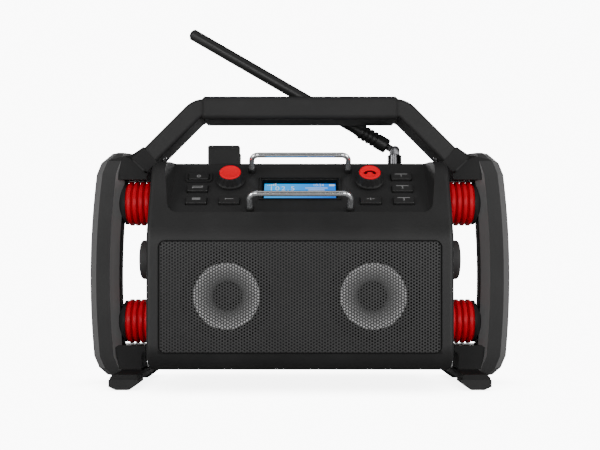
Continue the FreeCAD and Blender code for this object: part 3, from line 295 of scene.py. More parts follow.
finishes = {
    "housing": housingPlastic(),
    "frame": mouldedPlastic("framePlastic", (0.014, 0.0138, 0.0138), 0.55, gloss=0.15),
    "handle": mouldedPlastic("handlePlastic", (0.02, 0.0198, 0.0198), 0.5, gloss=0.2),
    # the bumper's chamfers take painted light, up to six times its colour
    "bumper": mouldedPlastic("bumperRubber", (0.036, 0.0357, 0.0357), 0.6, grain=1.4, pale=1.25, rubbed=6.0, gloss=0.15),
    "grip": mouldedPlastic("gripRubber", (0.019, 0.0188, 0.0188), 0.55, grain=1.5, gloss=0.2),
    "foot": mouldedPlastic("footRubber", (0.042, 0.0415, 0.0415), 0.62, grain=1.4, gloss=0.25),
    "button": mouldedPlastic("buttonPlastic", (0.013, 0.0129, 0.0129), 0.38, grain=0.6),
    "knob": mouldedPlastic("knobPlastic", (0.013, 0.0129, 0.0129), 0.5, grain=0.5, gloss=0.2),
    "grille": mouldedPlastic("grillePaint", (0.029, 0.0287, 0.0287), 0.45, grain=0.5, gloss=0.35),
    # near-black seal: partly a real seal, partly painted shade in the gap round the grille
    "seal": mouldedPlastic("gapShadeSeal", (0.0025, 0.0025, 0.0025), 0.7, grain=0.4, gloss=0.2),
    "surround": mouldedPlastic("surroundRubber", (0.002, 0.002, 0.002), 0.6, grain=0.4, gloss=0.2),
    "steelBlack": mouldedPlastic("blackSteel", (0.02, 0.0198, 0.0198), 0.4, grain=0.4),
    "aerial": mouldedPlastic("aerialRubber", (0.011, 0.0109, 0.0109), 0.4, grain=0.8),
    "clip": mouldedPlastic("clipPlastic", (0.005, 0.0049, 0.0049), 0.45, grain=0.3, gloss=0.3),
    "board": mouldedPlastic("boardGreen", (0.01, 0.07, 0.03), 0.4, grain=0.3),
    "pack": mouldedPlastic("packPlastic", (0.02, 0.0198, 0.0198), 0.5),
    "redCap": redGlossy(),
    "smokedSteel": polishedMetal("smokedSteel", (0.12, 0.12, 0.125), 0.2),
    "red": redRubber(),
    "chrome": brightChrome(),
    "steel": polishedMetal("plainSteel", (0.55, 0.55, 0.56), 0.24),
    "magnet": polishedMetal("darkFerrite", (0.08, 0.08, 0.085), 0.5),
    "cone": silverCone(),
    "screen": litScreen(),
    # painted light: the pale button prints glow, in place of lit ink
    "ink": glowing("paleInk", (0.8, 0.8, 0.8), 0.42),
    "digits": glowing("litDigits", (0.86, 0.97, 1.0), 1.0),
    "darkRed": mouldedPlastic("darkRedPrint", (0.03, 0.001, 0.002), 0.5, grain=0.1, gloss=0.1),
    "window": clearWindow(),
}
print("finishes made:", len(finishes))

slotFinish = {
    "housing_plastic": "housing", "frame_plastic": "frame", "bumper_rubber": "bumper", "grip_rubber": "grip",
    "red_rubber": "red", "grille_steel": "grille", "speaker_steel": "steelBlack", "magnet_ferrite": "magnet",
    "speaker_cone": "cone", "surround_rubber": "surround", "bright_chrome": "chrome", "button_plastic": "button",
    "knob_plastic": "knob", "red_plastic": "redCap", "window_clear": "window", "lcd_glass": "screen",
    "board_green": "board", "pack_plastic": "pack", "steel_bright": "steel", "aerial_rubber": "aerial",
}
nodeSlots = {part["node"]: part["material_slot"] for part in frame["record"]["subparts"]}
nodeBody = {node: body for body, nodes in frame["record"]["behaviour"]["bodies"].items() for node in nodes}


def smoothByAngle(mesh, degrees=35):
    for face in mesh.polygons:
        face.use_smooth = True
    limit = math.radians(degrees)
    shape = bmesh.new()
    shape.from_mesh(mesh)
    for edge in shape.edges:
        edge.smooth = len(edge.link_faces) == 2 and edge.calc_face_angle(0) < limit
    shape.to_mesh(mesh)
    shape.free()


def finished(name, shape, finish, body, replaced=(), angle=35, weighted=False):
    # turns a bmesh into a piece of the radio that rides on a body
    mesh = bpy.data.meshes.new(name)
    shape.to_mesh(mesh)
    shape.free()
    if "custom_normal" in mesh.attributes:
        mesh.attributes.remove(mesh.attributes["custom_normal"])
    smoothByAngle(mesh, angle)
    piece = bpy.data.objects.new(name, mesh)
    bpy.context.scene.collection.objects.link(piece)
    mesh.materials.append(finishes[finish])
    if weighted:
        even = piece.modifiers.new("evenNormals", "WEIGHTED_NORMAL")
        even.keep_sharp = True
    if body:
        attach(piece, body)
    if replaced:
        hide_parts(*replaced)
    return piece


def copyOf(node):
    shape = bmesh.new()
    shape.from_mesh(frame["nodes"][node].data)
    bmesh.ops.remove_doubles(shape, verts=shape.verts, dist=0.00001)
    bmesh.ops.dissolve_limit(shape, angle_limit=math.radians(0.5), verts=shape.verts, edges=shape.edges)
    return shape


def softened(node, width, name, finish=None, degrees=28, segments=2, rubbed=None):
    # the node's own shape with its edges rounded, in place of the node; the last argument gives each face's share of
    # painted light
    shape = copyOf(node)
    limit = math.radians(degrees)
    sharp = [edge for edge in shape.edges if len(edge.link_faces) == 2 and edge.calc_face_angle(0) > limit]
    bmesh.ops.bevel(shape, geom=sharp, offset=width, offset_type="OFFSET", segments=segments, profile=0.5,
                    affect="EDGES", clamp_overlap=True, material=-1)
    bmesh.ops.triangulate(shape, faces=[face for face in shape.faces if len(face.verts) > 4])
    if rubbed:
        layer = shape.loops.layers.float_color.new("rubbed")
        for face in shape.faces:
            share = rubbed(face.normal)
            for corner in face.loops:
                corner[layer] = (share, share, share, 1)
    slot = nodeSlots[node]
    return finished(name, shape, finish or slotFinish[slot], nodeBody[node], (node,), weighted=True)


nodeFinish = {"antenna_clip": "clip", "antenna_socket": "smokedSteel", "handle_bar": "handle",
              "side_buffer_left": "foot", "side_buffer_right": "foot",
              "speaker_basket_left": "surround", "speaker_basket_right": "surround"}
for node, thing in frame["nodes"].items():
    finish = finishes[nodeFinish.get(node, slotFinish[nodeSlots[node]])]
    thing.data.materials.clear()
    thing.data.materials.append(finish)
print("frame dressed:", len(frame["nodes"]), "nodes")


# The control panel's own frame: x across, y up the slope, z off the panel.
panel = Matrix.Translation((0, -75 * mm, 168.5 * mm)) @ Matrix.Rotation(math.radians(45), 4, "X")


def onPanel(x, up, off=0.0):
    return panel @ Matrix.Translation((x * mm, up * mm, off * mm))


def spun(profile, steps=64, axis="Z"):
    # a profile of (radius, height) corners in millimetres turned into a closed shape
    shape = bmesh.new()
    corners = [shape.verts.new((radius * mm, 0, height * mm)) for radius, height in profile]
    edges = [shape.edges.new(pair) for pair in zip(corners, corners[1:])]
    bmesh.ops.spin(shape, geom=corners + edges, cent=(0, 0, 0), axis=(0, 0, 1), angle=2 * math.pi, steps=steps,
                   use_merge=True, use_duplicate=False)
    bmesh.ops.remove_doubles(shape, verts=shape.verts, dist=0.000005)
    bmesh.ops.recalc_face_normals(shape, faces=shape.faces)
    turns = {"X": Matrix.Rotation(math.radians(90), 4, "Y"), "Y": Matrix.Rotation(math.radians(-90), 4, "X")}
    if axis in turns:
        bmesh.ops.transform(shape, matrix=turns[axis], verts=shape.verts)
    return shape


def moved(shape, matrix):
    bmesh.ops.transform(shape, matrix=matrix, verts=shape.verts)
    return shape


# Perforated steel grille: one staggered cell, repeated over the opening, inside a plain pressed rim that takes the
# near-black seal finish: partly a real seal, partly painted shade in the gap round the grille.
grilleLook = {"pitchAcross": 2.6, "pitchUp": 3.0, "holeRadius": 1.0, "holeDepth": 0.8, "fieldBack": 0.25,
              "rimWidth": 1.0, "sealWidth": 1.9, "sealBack": 0.5, "cornerRadius": 6.1, "columns": 101, "rows": 36}


def roundedOutline(shape, width, height, radius, segments=8):
    # a flat rounded rectangle about the origin, in millimetres, facing +Z
    made = bmesh.ops.create_grid(shape, x_segments=1, y_segments=1, size=0.5 * mm)
    bmesh.ops.scale(shape, vec=(width, height, 1), verts=made["verts"])
    corners = [v for v in made["verts"]]
    bmesh.ops.bevel(shape, geom=corners, offset=radius * mm, offset_type="OFFSET", segments=segments, profile=0.5,
                    affect="VERTICES", clamp_overlap=False, material=-1)
    return max((f for f in shape.faces), key=lambda f: f.calc_area())


def makeGrille():
    look = grilleLook
    low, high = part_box("speaker_grille")
    centre = (low + high) / 2
    width, height = (high.x - low.x) / mm, (high.z - low.z) / mm
    facing = Matrix.Translation((centre.x, low.y, centre.z)) @ Matrix.Rotation(math.radians(90), 4, "X")

    field = bmesh.new()
    hole = bmesh.ops.create_circle(field, segments=8, radius=look["holeRadius"] * mm)["verts"]
    border = bmesh.ops.create_circle(field, segments=8, radius=1.0 * mm)["verts"]
    for corner in border:
        across = 0 if abs(corner.co.x) < 0.1 * mm else math.copysign(look["pitchAcross"] / 2, corner.co.x)
        upward = 0 if abs(corner.co.y) < 0.1 * mm else math.copysign(look["pitchUp"] / 2, corner.co.y)
        corner.co = (across * mm, upward * mm, 0)
    bmesh.ops.bridge_loops(field, edges=field.edges[:])
    bmesh.ops.recalc_face_normals(field, faces=field.faces)
    if sum(face.normal.z for face in field.faces) < 0:
        bmesh.ops.reverse_faces(field, faces=field.faces)
    lips = [edge for edge in field.edges if all(v in hole for v in edge.verts)]
    wall = bmesh.ops.extrude_edge_only(field, edges=lips)["geom"]
    bmesh.ops.translate(field, vec=(0, 0, -look["holeDepth"] * mm),
                        verts=[part for part in wall if isinstance(part, bmesh.types.BMVert)])
    cell = field.verts[:] + field.edges[:] + field.faces[:]
    for column in range(1, look["columns"]):
        copied = bmesh.ops.duplicate(field, geom=cell)["geom"]
        bmesh.ops.translate(field, vec=(column * look["pitchAcross"] * mm, column % 2 * look["pitchUp"] / 2 * mm, 0),
                            verts=[part for part in copied if isinstance(part, bmesh.types.BMVert)])
    line = field.verts[:] + field.edges[:] + field.faces[:]
    for row in range(1, look["rows"]):
        copied = bmesh.ops.duplicate(field, geom=line)["geom"]
        bmesh.ops.translate(field, vec=(0, row * look["pitchUp"] * mm, 0),
                            verts=[part for part in copied if isinstance(part, bmesh.types.BMVert)])
    bmesh.ops.remove_doubles(field, verts=field.verts, dist=0.01 * mm)
    bmesh.ops.translate(field, vec=(-(look["columns"] - 1) / 2 * look["pitchAcross"] * mm,
                                    -(look["rows"] - 0.5) / 2 * look["pitchUp"] * mm, -look["fieldBack"] * mm),
                        verts=field.verts)
    inner = look["cornerRadius"] - look["rimWidth"] / 2
    reachX, reachY = width / 2 - look["rimWidth"] / 2 - inner, height / 2 - look["rimWidth"] / 2 - inner

    def outside(spot):
        beyond = Vector((max(0, abs(spot.x) / mm - reachX), max(0, abs(spot.y) / mm - reachY)))
        return beyond.length > inner
    stray = [face for face in field.faces if outside(face.calc_center_median())]
    bmesh.ops.delete(field, geom=stray, context="FACES")
    moved(field, facing)
    finished("grilleField", field, "grille", "housing", ("speaker_grille",))

    rim = bmesh.new()
    spare = look["sealWidth"] - look["rimWidth"]
    plate = roundedOutline(rim, width + 2 * spare, height + 2 * spare, look["cornerRadius"] + spare)
    bmesh.ops.inset_region(rim, faces=[plate], thickness=look["sealWidth"] * mm, use_boundary=True,
                           use_even_offset=True)
    bmesh.ops.delete(rim, geom=[plate], context="FACES_ONLY")
    bmesh.ops.recalc_face_normals(rim, faces=rim.faces)
    if rim.faces[:][0].normal.z < 0:
        bmesh.ops.reverse_faces(rim, faces=rim.faces)
    bmesh.ops.solidify(rim, geom=rim.faces[:], thickness=-2.6 * mm)
    sharp = [edge for edge in rim.edges if len(edge.link_faces) == 2 and edge.calc_face_angle(0) > 1.0]
    bmesh.ops.bevel(rim, geom=sharp, offset=0.25 * mm, offset_type="OFFSET", segments=2, profile=0.5,
                    affect="EDGES", clamp_overlap=True, material=-1)
    bmesh.ops.recalc_face_normals(rim, faces=rim.faces)
    crown = max(corner.co.z for corner in rim.verts)
    bmesh.ops.translate(rim, vec=(0, 0, -crown - look["sealBack"] * mm), verts=rim.verts)
    moved(rim, facing)
    # near-black: painted shade in the gap round the grille, on a real seal ring
    finished("grilleSeal", rim, "seal", "housing", ())
    print("grille made:", width, "x", height)


makeGrille()


# The octagonal rubber limbs of the cage, with their long edges rounded and painted light on their chamfers: slanted
# faces paler, the inner ones most, as the lamps catch them.
def onChamfer(side):
    def rubbed(normal):
        slanted = min(1.0, 2.2 * abs(normal.x * normal.y))
        return slanted * (0.55 if normal.x * sides[side] > 0 else 1.0)
    return rubbed


for side in sides:
    softened("bumper_" + side, 0.8 * mm, "bumperRubber" + side.title(), degrees=20, rubbed=onChamfer(side))


# Pieces whose solids are made a little fuller, as in the photograph, with soft edges.
def fuller(shape, reach, where=None):
    # every point moves out along its normal, so a wall's faces stay parallel
    shape.normal_update()
    shifts = [(corner, corner.normal * corner.calc_shell_factor() * reach) for corner in shape.verts]
    for corner, shift in shifts:
        if where is None or where(corner.co):
            corner.co += shift


def softEdges(shape, width, where=None, degrees=40, segments=2, shortest=0.0):
    limit = math.radians(degrees)
    sharp = [edge for edge in shape.edges if len(edge.link_faces) == 2 and edge.calc_face_angle(0) > limit
             and edge.calc_length() > shortest and (where is None or all(where(end.co) for end in edge.verts))]
    bmesh.ops.bevel(shape, geom=sharp, offset=width, offset_type="OFFSET", segments=segments, profile=0.5,
                    affect="EDGES", clamp_overlap=True, material=-1)
    bmesh.ops.triangulate(shape, faces=[face for face in shape.faces if len(face.verts) > 4])


def stands(name, shape, node, finish=None):
    # the reshaped copy takes the node's place, slot and body
    slot = nodeSlots[node]
    return finished(name, shape, finish or slotFinish[slot], nodeBody[node], (node,), weighted=True)


handleLook = {"fuller": 1.45, "higher": 1.0, "edge": 0.9}


def makeHandle():
    look = handleLook
    for node, name, finish in (("handle_bar", "handleBar", "handle"), ("handle_grip", "handleGrip", "grip")):
        shape = copyOf(node)
        fuller(shape, look["fuller"] * mm)
        bmesh.ops.translate(shape, vec=(0, 0, look["higher"] * mm), verts=shape.verts)
        softEdges(shape, look["edge"] * mm, shortest=8 * mm)
        stands(name, shape, node, finish)


makeHandle()

sideFrameLook = {"collarFrom": 212.5, "collarReach": 168.0, "collarOuter": 381.0, "collarFuller": 1.0, "hubTop": 38.9, "hubFrom": 31.0,
                 "hubReach": 184.0, "edge": 1.3}


def makeSideFrame(side):
    look = sideFrameLook
    node = "side_frame_" + side
    shape = copyOf(node)

    def onCollar(spot):
        # the outer half alone, because the radio's shoulder passes close under the inner one
        return (spot.z > look["collarFrom"] * mm and abs(spot.x) < look["collarReach"] * mm
                and abs(spot.x) + spot.z > look["collarOuter"] * mm)
    fuller(shape, look["collarFuller"] * mm, onCollar)
    for corner in shape.verts:
        if look["hubFrom"] * mm < corner.co.z < (look["hubTop"] - 0.2) * mm and abs(corner.co.x) < look["hubReach"] * mm:
            if abs(corner.normal.z) > 0.2 and corner.normal.z > 0:
                corner.co.z = look["hubTop"] * mm
    softEdges(shape, look["edge"] * mm, lambda spot: spot.z > 205 * mm or spot.z < 39.5 * mm, shortest=9 * mm)
    stands("sideFrame" + side.title(), shape, node)


for side in sides:
    makeSideFrame(side)

# The aerial is as thick at its tip as at its foot.
aerialLook = {"pivot": (101.8, 45.0, 243.5), "tilt": 30.0, "sleeveEnd": 43.0, "sleeveFuller": 1.07, "radius": 6.1,
              "shorter": 1.5, "taperFrom": 49.2, "taperRadius": 6.62, "taper": 0.01143, "tipFrom": 252.0}


def makeAerial():
    look = aerialLook
    foot = Vector(look["pivot"]) * mm
    tilt = math.radians(look["tilt"])
    along = Vector((-math.cos(tilt), 0, math.sin(tilt)))
    shape = copyOf("antenna_whip")
    for corner in shape.verts:
        away = corner.co - foot
        reach = away.dot(along)
        place = min(reach / mm, look["tipFrom"])
        if place < 8.0:
            continue
        if place < look["sleeveEnd"]:
            share = look["sleeveFuller"]
        else:
            share = look["radius"] / (look["taperRadius"] - look["taper"] * (place - look["taperFrom"]))
        shorter = look["shorter"] * mm if place > look["sleeveEnd"] else 0
        corner.co = foot + along * (reach - shorter) + (away - along * reach) * share
    softEdges(shape, 0.4 * mm, lambda spot: (spot - foot).length > 60 * mm)
    stands("aerialWhip", shape, "antenna_whip", "aerial")


makeAerial()

clipLook = {"wider": 1.035, "edge": 0.7, "seat": 237.3, "seatLower": 0.6}


def makeClip():
    low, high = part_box("antenna_clip")
    middle = (low.x + high.x) / 2
    shape = copyOf("antenna_clip")
    for corner in shape.verts:
        if abs(corner.co.z - clipLook["seat"] * mm) < 0.3 * mm:
            corner.co.z -= clipLook["seatLower"] * mm
    bmesh.ops.translate(shape, vec=(-middle, 0, 0), verts=shape.verts)
    bmesh.ops.scale(shape, vec=(clipLook["wider"], 1, 1), verts=shape.verts)
    bmesh.ops.translate(shape, vec=(middle, 0, 0), verts=shape.verts)
    softEdges(shape, clipLook["edge"] * mm, shortest=4 * mm)
    stands("aerialClip", shape, "antenna_clip", "clip")


makeClip()

# The board under the keys is thinned from above, so a pressed key's stem stays clear of it.
keypadLook = {"top": -10.4, "thinner": 0.5}


def makeKeypad():
    shape = copyOf("keypad_board")
    offPanel = panel.inverted()
    for corner in shape.verts:
        if (offPanel @ corner.co).z > (keypadLook["top"] - 0.5) * mm:
            corner.co -= panel.to_3x3() @ Vector((0, 0, keypadLook["thinner"] * mm))
    stands("keypadBoard", shape, "keypad_board")


makeKeypad()


# Red bellows that hang the radio in its cage.
bellowsLook = {"ribs": 5, "rootRadius": 19.6, "ribRadius": 22.6, "crest": 0.5, "rounding": 1.5, "endRadius": 20.2,
               "endCollar": 0.9}


def makeBellows(name):
    look = bellowsLook
    low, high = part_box(name)
    centre = (low + high) / 2
    length = (high.x - low.x) / mm - 2 * look["endCollar"]
    pitch = length / look["ribs"]
    profile = [(0.0, 0.0), (look["endRadius"], 0.0), (look["endRadius"], look["endCollar"] * 0.8),
               (look["rootRadius"], look["endCollar"])]
    for rib in range(look["ribs"]):
        start = look["endCollar"] + rib * pitch
        flank = (1 - look["crest"]) / 2 * pitch
        profile += [(look["ribRadius"], start + flank), (look["ribRadius"], start + pitch - flank),
                    (look["rootRadius"], start + pitch)]
    total = (high.x - low.x) / mm
    profile += [(look["endRadius"], total - look["endCollar"] * 0.8), (look["endRadius"], total), (0.0, total)]
    shape = bmesh.new()
    corners = [shape.verts.new((radius * mm, 0, height * mm)) for radius, height in profile]
    edges = [shape.edges.new(pair) for pair in zip(corners, corners[1:])]
    bmesh.ops.bevel(shape, geom=corners[2:-2], offset=look["rounding"] * mm, offset_type="OFFSET", segments=4,
                    profile=0.5, affect="VERTICES", clamp_overlap=True, material=-1)
    bmesh.ops.spin(shape, geom=shape.verts[:] + shape.edges[:], cent=(0, 0, 0), axis=(0, 0, 1), angle=2 * math.pi,
                   steps=64, use_merge=True, use_duplicate=False)
    bmesh.ops.remove_doubles(shape, verts=shape.verts, dist=0.005 * mm)
    bmesh.ops.recalc_face_normals(shape, faces=shape.faces)
    moved(shape, Matrix.Translation((low.x, centre.y, centre.z)) @ Matrix.Rotation(math.radians(90), 4, "Y"))
    piece = finished("bellows" + name.replace("shock_mount", "").title().replace("_", ""), shape, "red", None,
                     (name,), angle=70)
    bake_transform(piece)


for side in sides:
    for level in ("upper", "lower"):
        makeBellows("shock_mount_" + level + "_" + side)
print("bellows made")


# Knobs: a fluted black skirt with a dished red cap, and a small receiver mark on the right one.
knobLook = {"across": 68.2, "up": 47.5, "lift": 1.3, "skirtRadius": 14.5, "skirtHeight": 10.0, "flutes": 16,
            "fluteDepth": 0.45, "capRadius": 10.4, "capRise": 0.9, "capDish": 0.4, "capSeat": 8.8}


def makeKnob(side):
    look = knobLook
    place = onPanel(sides[side] * look["across"], look["up"], look["lift"])
    reach, tall, cap = look["skirtRadius"], look["skirtHeight"], look["capRadius"]
    skirt = spun([(3.2, 0.0), (reach - 0.4, 0.0), (reach, 0.3), (reach, 1.5), (reach - 0.3, 1.9), (reach - 1.0, 2.3),
                  (reach - 1.2, 3.0), (reach - 2.4, tall - 1.6), (reach - 2.8, tall - 0.6), (reach - 3.2, tall - 0.1),
                  (reach - 3.5, tall), (cap + 0.15, tall), (cap + 0.15, look["capSeat"]), (3.2, look["capSeat"])],
                 steps=128)
    for corner in skirt.verts:
        height = corner.co.z / mm
        if 2.5 < height < tall - 0.3 and corner.co.xy.length > (cap + 0.5) * mm:
            turn = math.atan2(corner.co.y, corner.co.x)
            share = 1 - look["fluteDepth"] / reach * (0.5 + 0.5 * math.cos(look["flutes"] * turn)) ** 2
            corner.co.x *= share
            corner.co.y *= share
    finished("knobSkirt" + side.title(), moved(skirt, place), "knob", "knob_" + side, ("knob_" + side,),
             angle=40)
    top, seat, dish = tall + look["capRise"], look["capSeat"], look["capDish"]
    button = spun([(0.0, seat), (cap, seat), (cap, top - 0.7), (cap - 0.2, top - 0.25), (cap - 0.7, top),
                   (cap - 1.7, top), (cap - 2.3, top - 0.2), (cap - 2.7, top - dish), (0.0, top - dish)], steps=96)
    finished("knobCap" + side.title(), moved(button, place), "redCap", "knob_" + side, ("knob_cap_" + side,),
             angle=40)


for side in sides:
    makeKnob(side)
print("knobs made")


# Flat marks: pale prints on the buttons, and what the display shows.
def bar(shape, x, y, width, height):
    made = bmesh.ops.create_grid(shape, x_segments=1, y_segments=1, size=0.5 * mm)["verts"]
    bmesh.ops.scale(shape, vec=(width, height, 1), verts=made)
    bmesh.ops.translate(shape, vec=(x * mm, y * mm, 0), verts=made)


def disc(shape, x, y, radius, corners=24, turn=0.0):
    made = bmesh.ops.create_circle(shape, cap_ends=True, segments=corners, radius=radius * mm)["verts"]
    bmesh.ops.rotate(shape, cent=(0, 0, 0), matrix=Matrix.Rotation(math.radians(turn), 3, "Z"), verts=made)
    bmesh.ops.translate(shape, vec=(x * mm, y * mm, 0), verts=made)


def ring(shape, x, y, radius, thick, start=0.0, sweep=360.0):
    # a band round a point; the angles run anticlockwise from its top
    ends = [shape.verts.new((x * mm, (y + radius + half * thick) * mm, 0)) for half in (-0.5, 0.5)]
    line = shape.edges.new(ends)
    centre = (x * mm, y * mm, 0)
    bmesh.ops.rotate(shape, cent=centre, matrix=Matrix.Rotation(math.radians(start), 3, "Z"), verts=ends)
    bmesh.ops.spin(shape, geom=ends + [line], cent=centre, axis=(0, 0, 1), angle=math.radians(sweep), steps=32,
                   use_merge=sweep == 360.0, use_duplicate=False)


def digits(shape, words, x, y, size, spacing=1.0):
    data = bpy.data.curves.new("digits", "FONT")
    data.body, data.size, data.space_character = words, size * mm, spacing
    data.align_x, data.align_y = "CENTER", "CENTER"
    data.resolution_u = 3
    carrier = bpy.data.objects.new("digits", data)
    mesh = bpy.data.meshes.new_from_object(carrier)
    mesh.transform(Matrix.Translation((x * mm, y * mm, 0)))
    shape.from_mesh(mesh)
    bpy.data.objects.remove(carrier)
    bpy.data.meshes.remove(mesh)
    bpy.data.curves.remove(data)


def arrow(shape, x, y, length, toRight):
    way = 1 if toRight else -1
    bar(shape, x - way * 0.6, y, length - 1.2, 0.45)
    disc(shape, x + way * (length / 2 - 0.5), y, 1.0, 3, 0 if toRight else 180)


def powerMark(shape):
    ring(shape, 0, -0.1, 1.6, 0.5, 35.0, 290.0)
    bar(shape, 0, 1.1, 0.5, 1.8)


def sourceMark(shape):
    arrow(shape, 0, 2.2, 10.0, True)
    arrow(shape, 0, 0.2, 10.0, False)


def menuMark(shape):
    for line in range(3):
        bar(shape, 0, 0.4 + 1.1 * line, 8.0, 0.5)


def backMark(shape):
    arrow(shape, 0, 1.5, 8.0, False)


def infoMark(shape):
    bar(shape, 0, 0.8, 0.7, 1.7)
    disc(shape, 0, 2.3, 0.45)
    for sideways in (-1, 1):
        bar(shape, sideways * 2.6, 1.4, 2.2, 0.5)


def presetMark(number):
    def mark(shape):
        bar(shape, 0, 3.0, 12.0, 0.55)
        digits(shape, str(number), 0, 0.4, 4.4)
    return mark


buttonLook = {"proud": 2.5, "printLift": 0.03, "places": {
    "power_button": (-99.8, 53.0, powerMark), "source_button": (-99.8, 35.0, sourceMark),
    "menu_button": (-99.8, 17.0, menuMark), "back_button": (-68.0, 17.0, backMark),
    "info_button": (68.0, 17.0, infoMark), "preset_1_button": (99.8, 53.0, presetMark(1)),
    "preset_2_button": (99.8, 35.0, presetMark(2)), "preset_3_button": (99.8, 17.0, presetMark(3))}}


def facingUp(shape):
    bmesh.ops.recalc_face_normals(shape, faces=shape.faces)
    wrong = [face for face in shape.faces if face.normal.z < 0]
    bmesh.ops.reverse_faces(shape, faces=wrong)


for button, (x, up, mark) in buttonLook["places"].items():
    shape = bmesh.new()
    mark(shape)
    facingUp(shape)
    moved(shape, onPanel(x, up, buttonLook["proud"] + buttonLook["printLift"]))
    finished(button.replace("_", "") + "Print", shape, "ink", button, ())
print("prints made:", len(buttonLook["places"]))


# The lit display: plain digits, a tuning scale, and signal and battery marks.
displayLook = {"middle": 36.2, "height": -0.27, "station": "102.5", "clock": "10:24", "ticks": 25, "width": 66.0}


def makeDisplayFigures():
    look = displayLook
    shape = bmesh.new()
    digits(shape, look["station"], -17.5, 0.6, 9.0, 1.3)
    digits(shape, look["clock"], 18.0, 5.8, 5.0)
    for step in range(5):
        bar(shape, -31.5 + 1.9 * step, 5.4 + 0.3 * step, 1.1, 1.0 + 0.6 * step)
    bar(shape, 31.0, 5.8, 5.0, 2.6)
    bar(shape, 34.0, 5.8, 0.8, 1.3)
    for tick in range(look["ticks"]):
        tall = 3.4 if tick % 4 == 0 else 2.0
        bar(shape, (tick / (look["ticks"] - 1) - 0.5) * look["width"], -10.6 + tall / 2, 0.45, tall)
    bar(shape, 0, -10.8, look["width"], 0.4)
    disc(shape, 7.5, -5.6, 1.5, 3, -90)
    for line in range(2):
        bar(shape, 16.0, 1.6 - 3.0 * line, 22.0 - 6 * line, 1.0)
    facingUp(shape)
    moved(shape, onPanel(0, look["middle"], look["height"]))
    finished("displayFigures", shape, "digits", "housing", ())


makeDisplayFigures()


# The receiver mark on the right knob's cap, a bent bar with two ends.
def makeReceiverMark():
    look = knobLook
    shape = bmesh.new()
    ring(shape, 0, -5.0, 6.2, 2.3, -44.0, 88.0)
    for sideways in (-1, 1):
        made = bmesh.ops.create_grid(shape, x_segments=1, y_segments=1, size=0.5 * mm)["verts"]
        bmesh.ops.scale(shape, vec=(3.2, 3.0, 1), verts=made)
        bmesh.ops.rotate(shape, cent=(0, 0, 0), matrix=Matrix.Rotation(math.radians(-32 * sideways), 3, "Z"), verts=made)
        bmesh.ops.translate(shape, vec=(sideways * 4.3 * mm, -1.5 * mm, 0), verts=made)
    facingUp(shape)
    height = look["lift"] + look["skirtHeight"] + look["capRise"] - look["capDish"] + 0.04
    moved(shape, onPanel(look["across"], look["up"], height))
    finished("receiverPrint", shape, "darkRed", "knob_right", ())


makeReceiverMark()
print("display and marks made")


# The aerial's hinge: two round-headed cheeks on a turning foot, with the pin's ends showing.
turretLook = {"place": (101.8, 45.0), "foot": 238.4, "pivot": 243.5, "cheekHalf": 5.0, "inside": 2.6, "outside": 5.4,
              "footRadius": 6.0, "footHeight": 1.2, "pinRadius": 1.5, "pinProud": 0.35}


def makeTurret():
    look = turretLook
    x, y = look["place"]
    rise = look["pivot"] - look["foot"]
    shape = spun([(0.0, 0.0), (look["footRadius"], 0.0), (look["footRadius"], look["footHeight"] - 0.3),
                  (look["footRadius"] - 0.3, look["footHeight"]), (0.0, look["footHeight"])], steps=48)
    for away in (-1, 1):
        cheek = bmesh.new()
        half, steps = look["cheekHalf"] * mm, 20
        outline = [cheek.verts.new((-half, 0, 0)), cheek.verts.new((half, 0, 0))]
        for step in range(steps + 1):
            turn = math.pi * step / steps
            outline.append(cheek.verts.new((half * math.cos(turn), 0, rise * mm + half * math.sin(turn))))
        bmesh.ops.contextual_create(cheek, geom=outline)
        bmesh.ops.translate(cheek, vec=(0, away * look["inside"] * mm, 0), verts=cheek.verts)
        grown = bmesh.ops.extrude_face_region(cheek, geom=cheek.faces[:])["geom"]
        bmesh.ops.translate(cheek, vec=(0, away * (look["outside"] - look["inside"]) * mm, 0),
                            verts=[part for part in grown if isinstance(part, bmesh.types.BMVert)])
        sharp = [edge for edge in cheek.edges if len(edge.link_faces) == 2 and edge.calc_face_angle(0) > 1.0]
        bmesh.ops.bevel(cheek, geom=sharp, offset=0.5 * mm, offset_type="OFFSET", segments=3, profile=0.5,
                        affect="EDGES", clamp_overlap=True, material=-1)
        bmesh.ops.recalc_face_normals(cheek, faces=cheek.faces)
        joinInto(shape, cheek)
    reach = look["outside"] + look["pinProud"]
    pin = spun([(0.0, -reach), (look["pinRadius"], -reach), (look["pinRadius"], reach), (0.0, reach)], 32, "Y")
    joinInto(shape, moved(pin, Matrix.Translation((0, 0, rise * mm))))
    moved(shape, Matrix.Translation((x * mm, y * mm, look["foot"] * mm)))
    finished("aerialHinge", shape, "smokedSteel", "antenna_turret", ("antenna_turret",))


def joinInto(shape, piece):
    mesh = bpy.data.meshes.new("joined")
    piece.to_mesh(mesh)
    piece.free()
    shape.from_mesh(mesh)
    bpy.data.meshes.remove(mesh)


makeTurret()


# Screw heads with six-lobed recesses, in place of the plain ones.
screwLook = {"headRadius": 3.5, "headRise": 1.2, "recessRadius": 1.7, "recessDepth": 0.9}


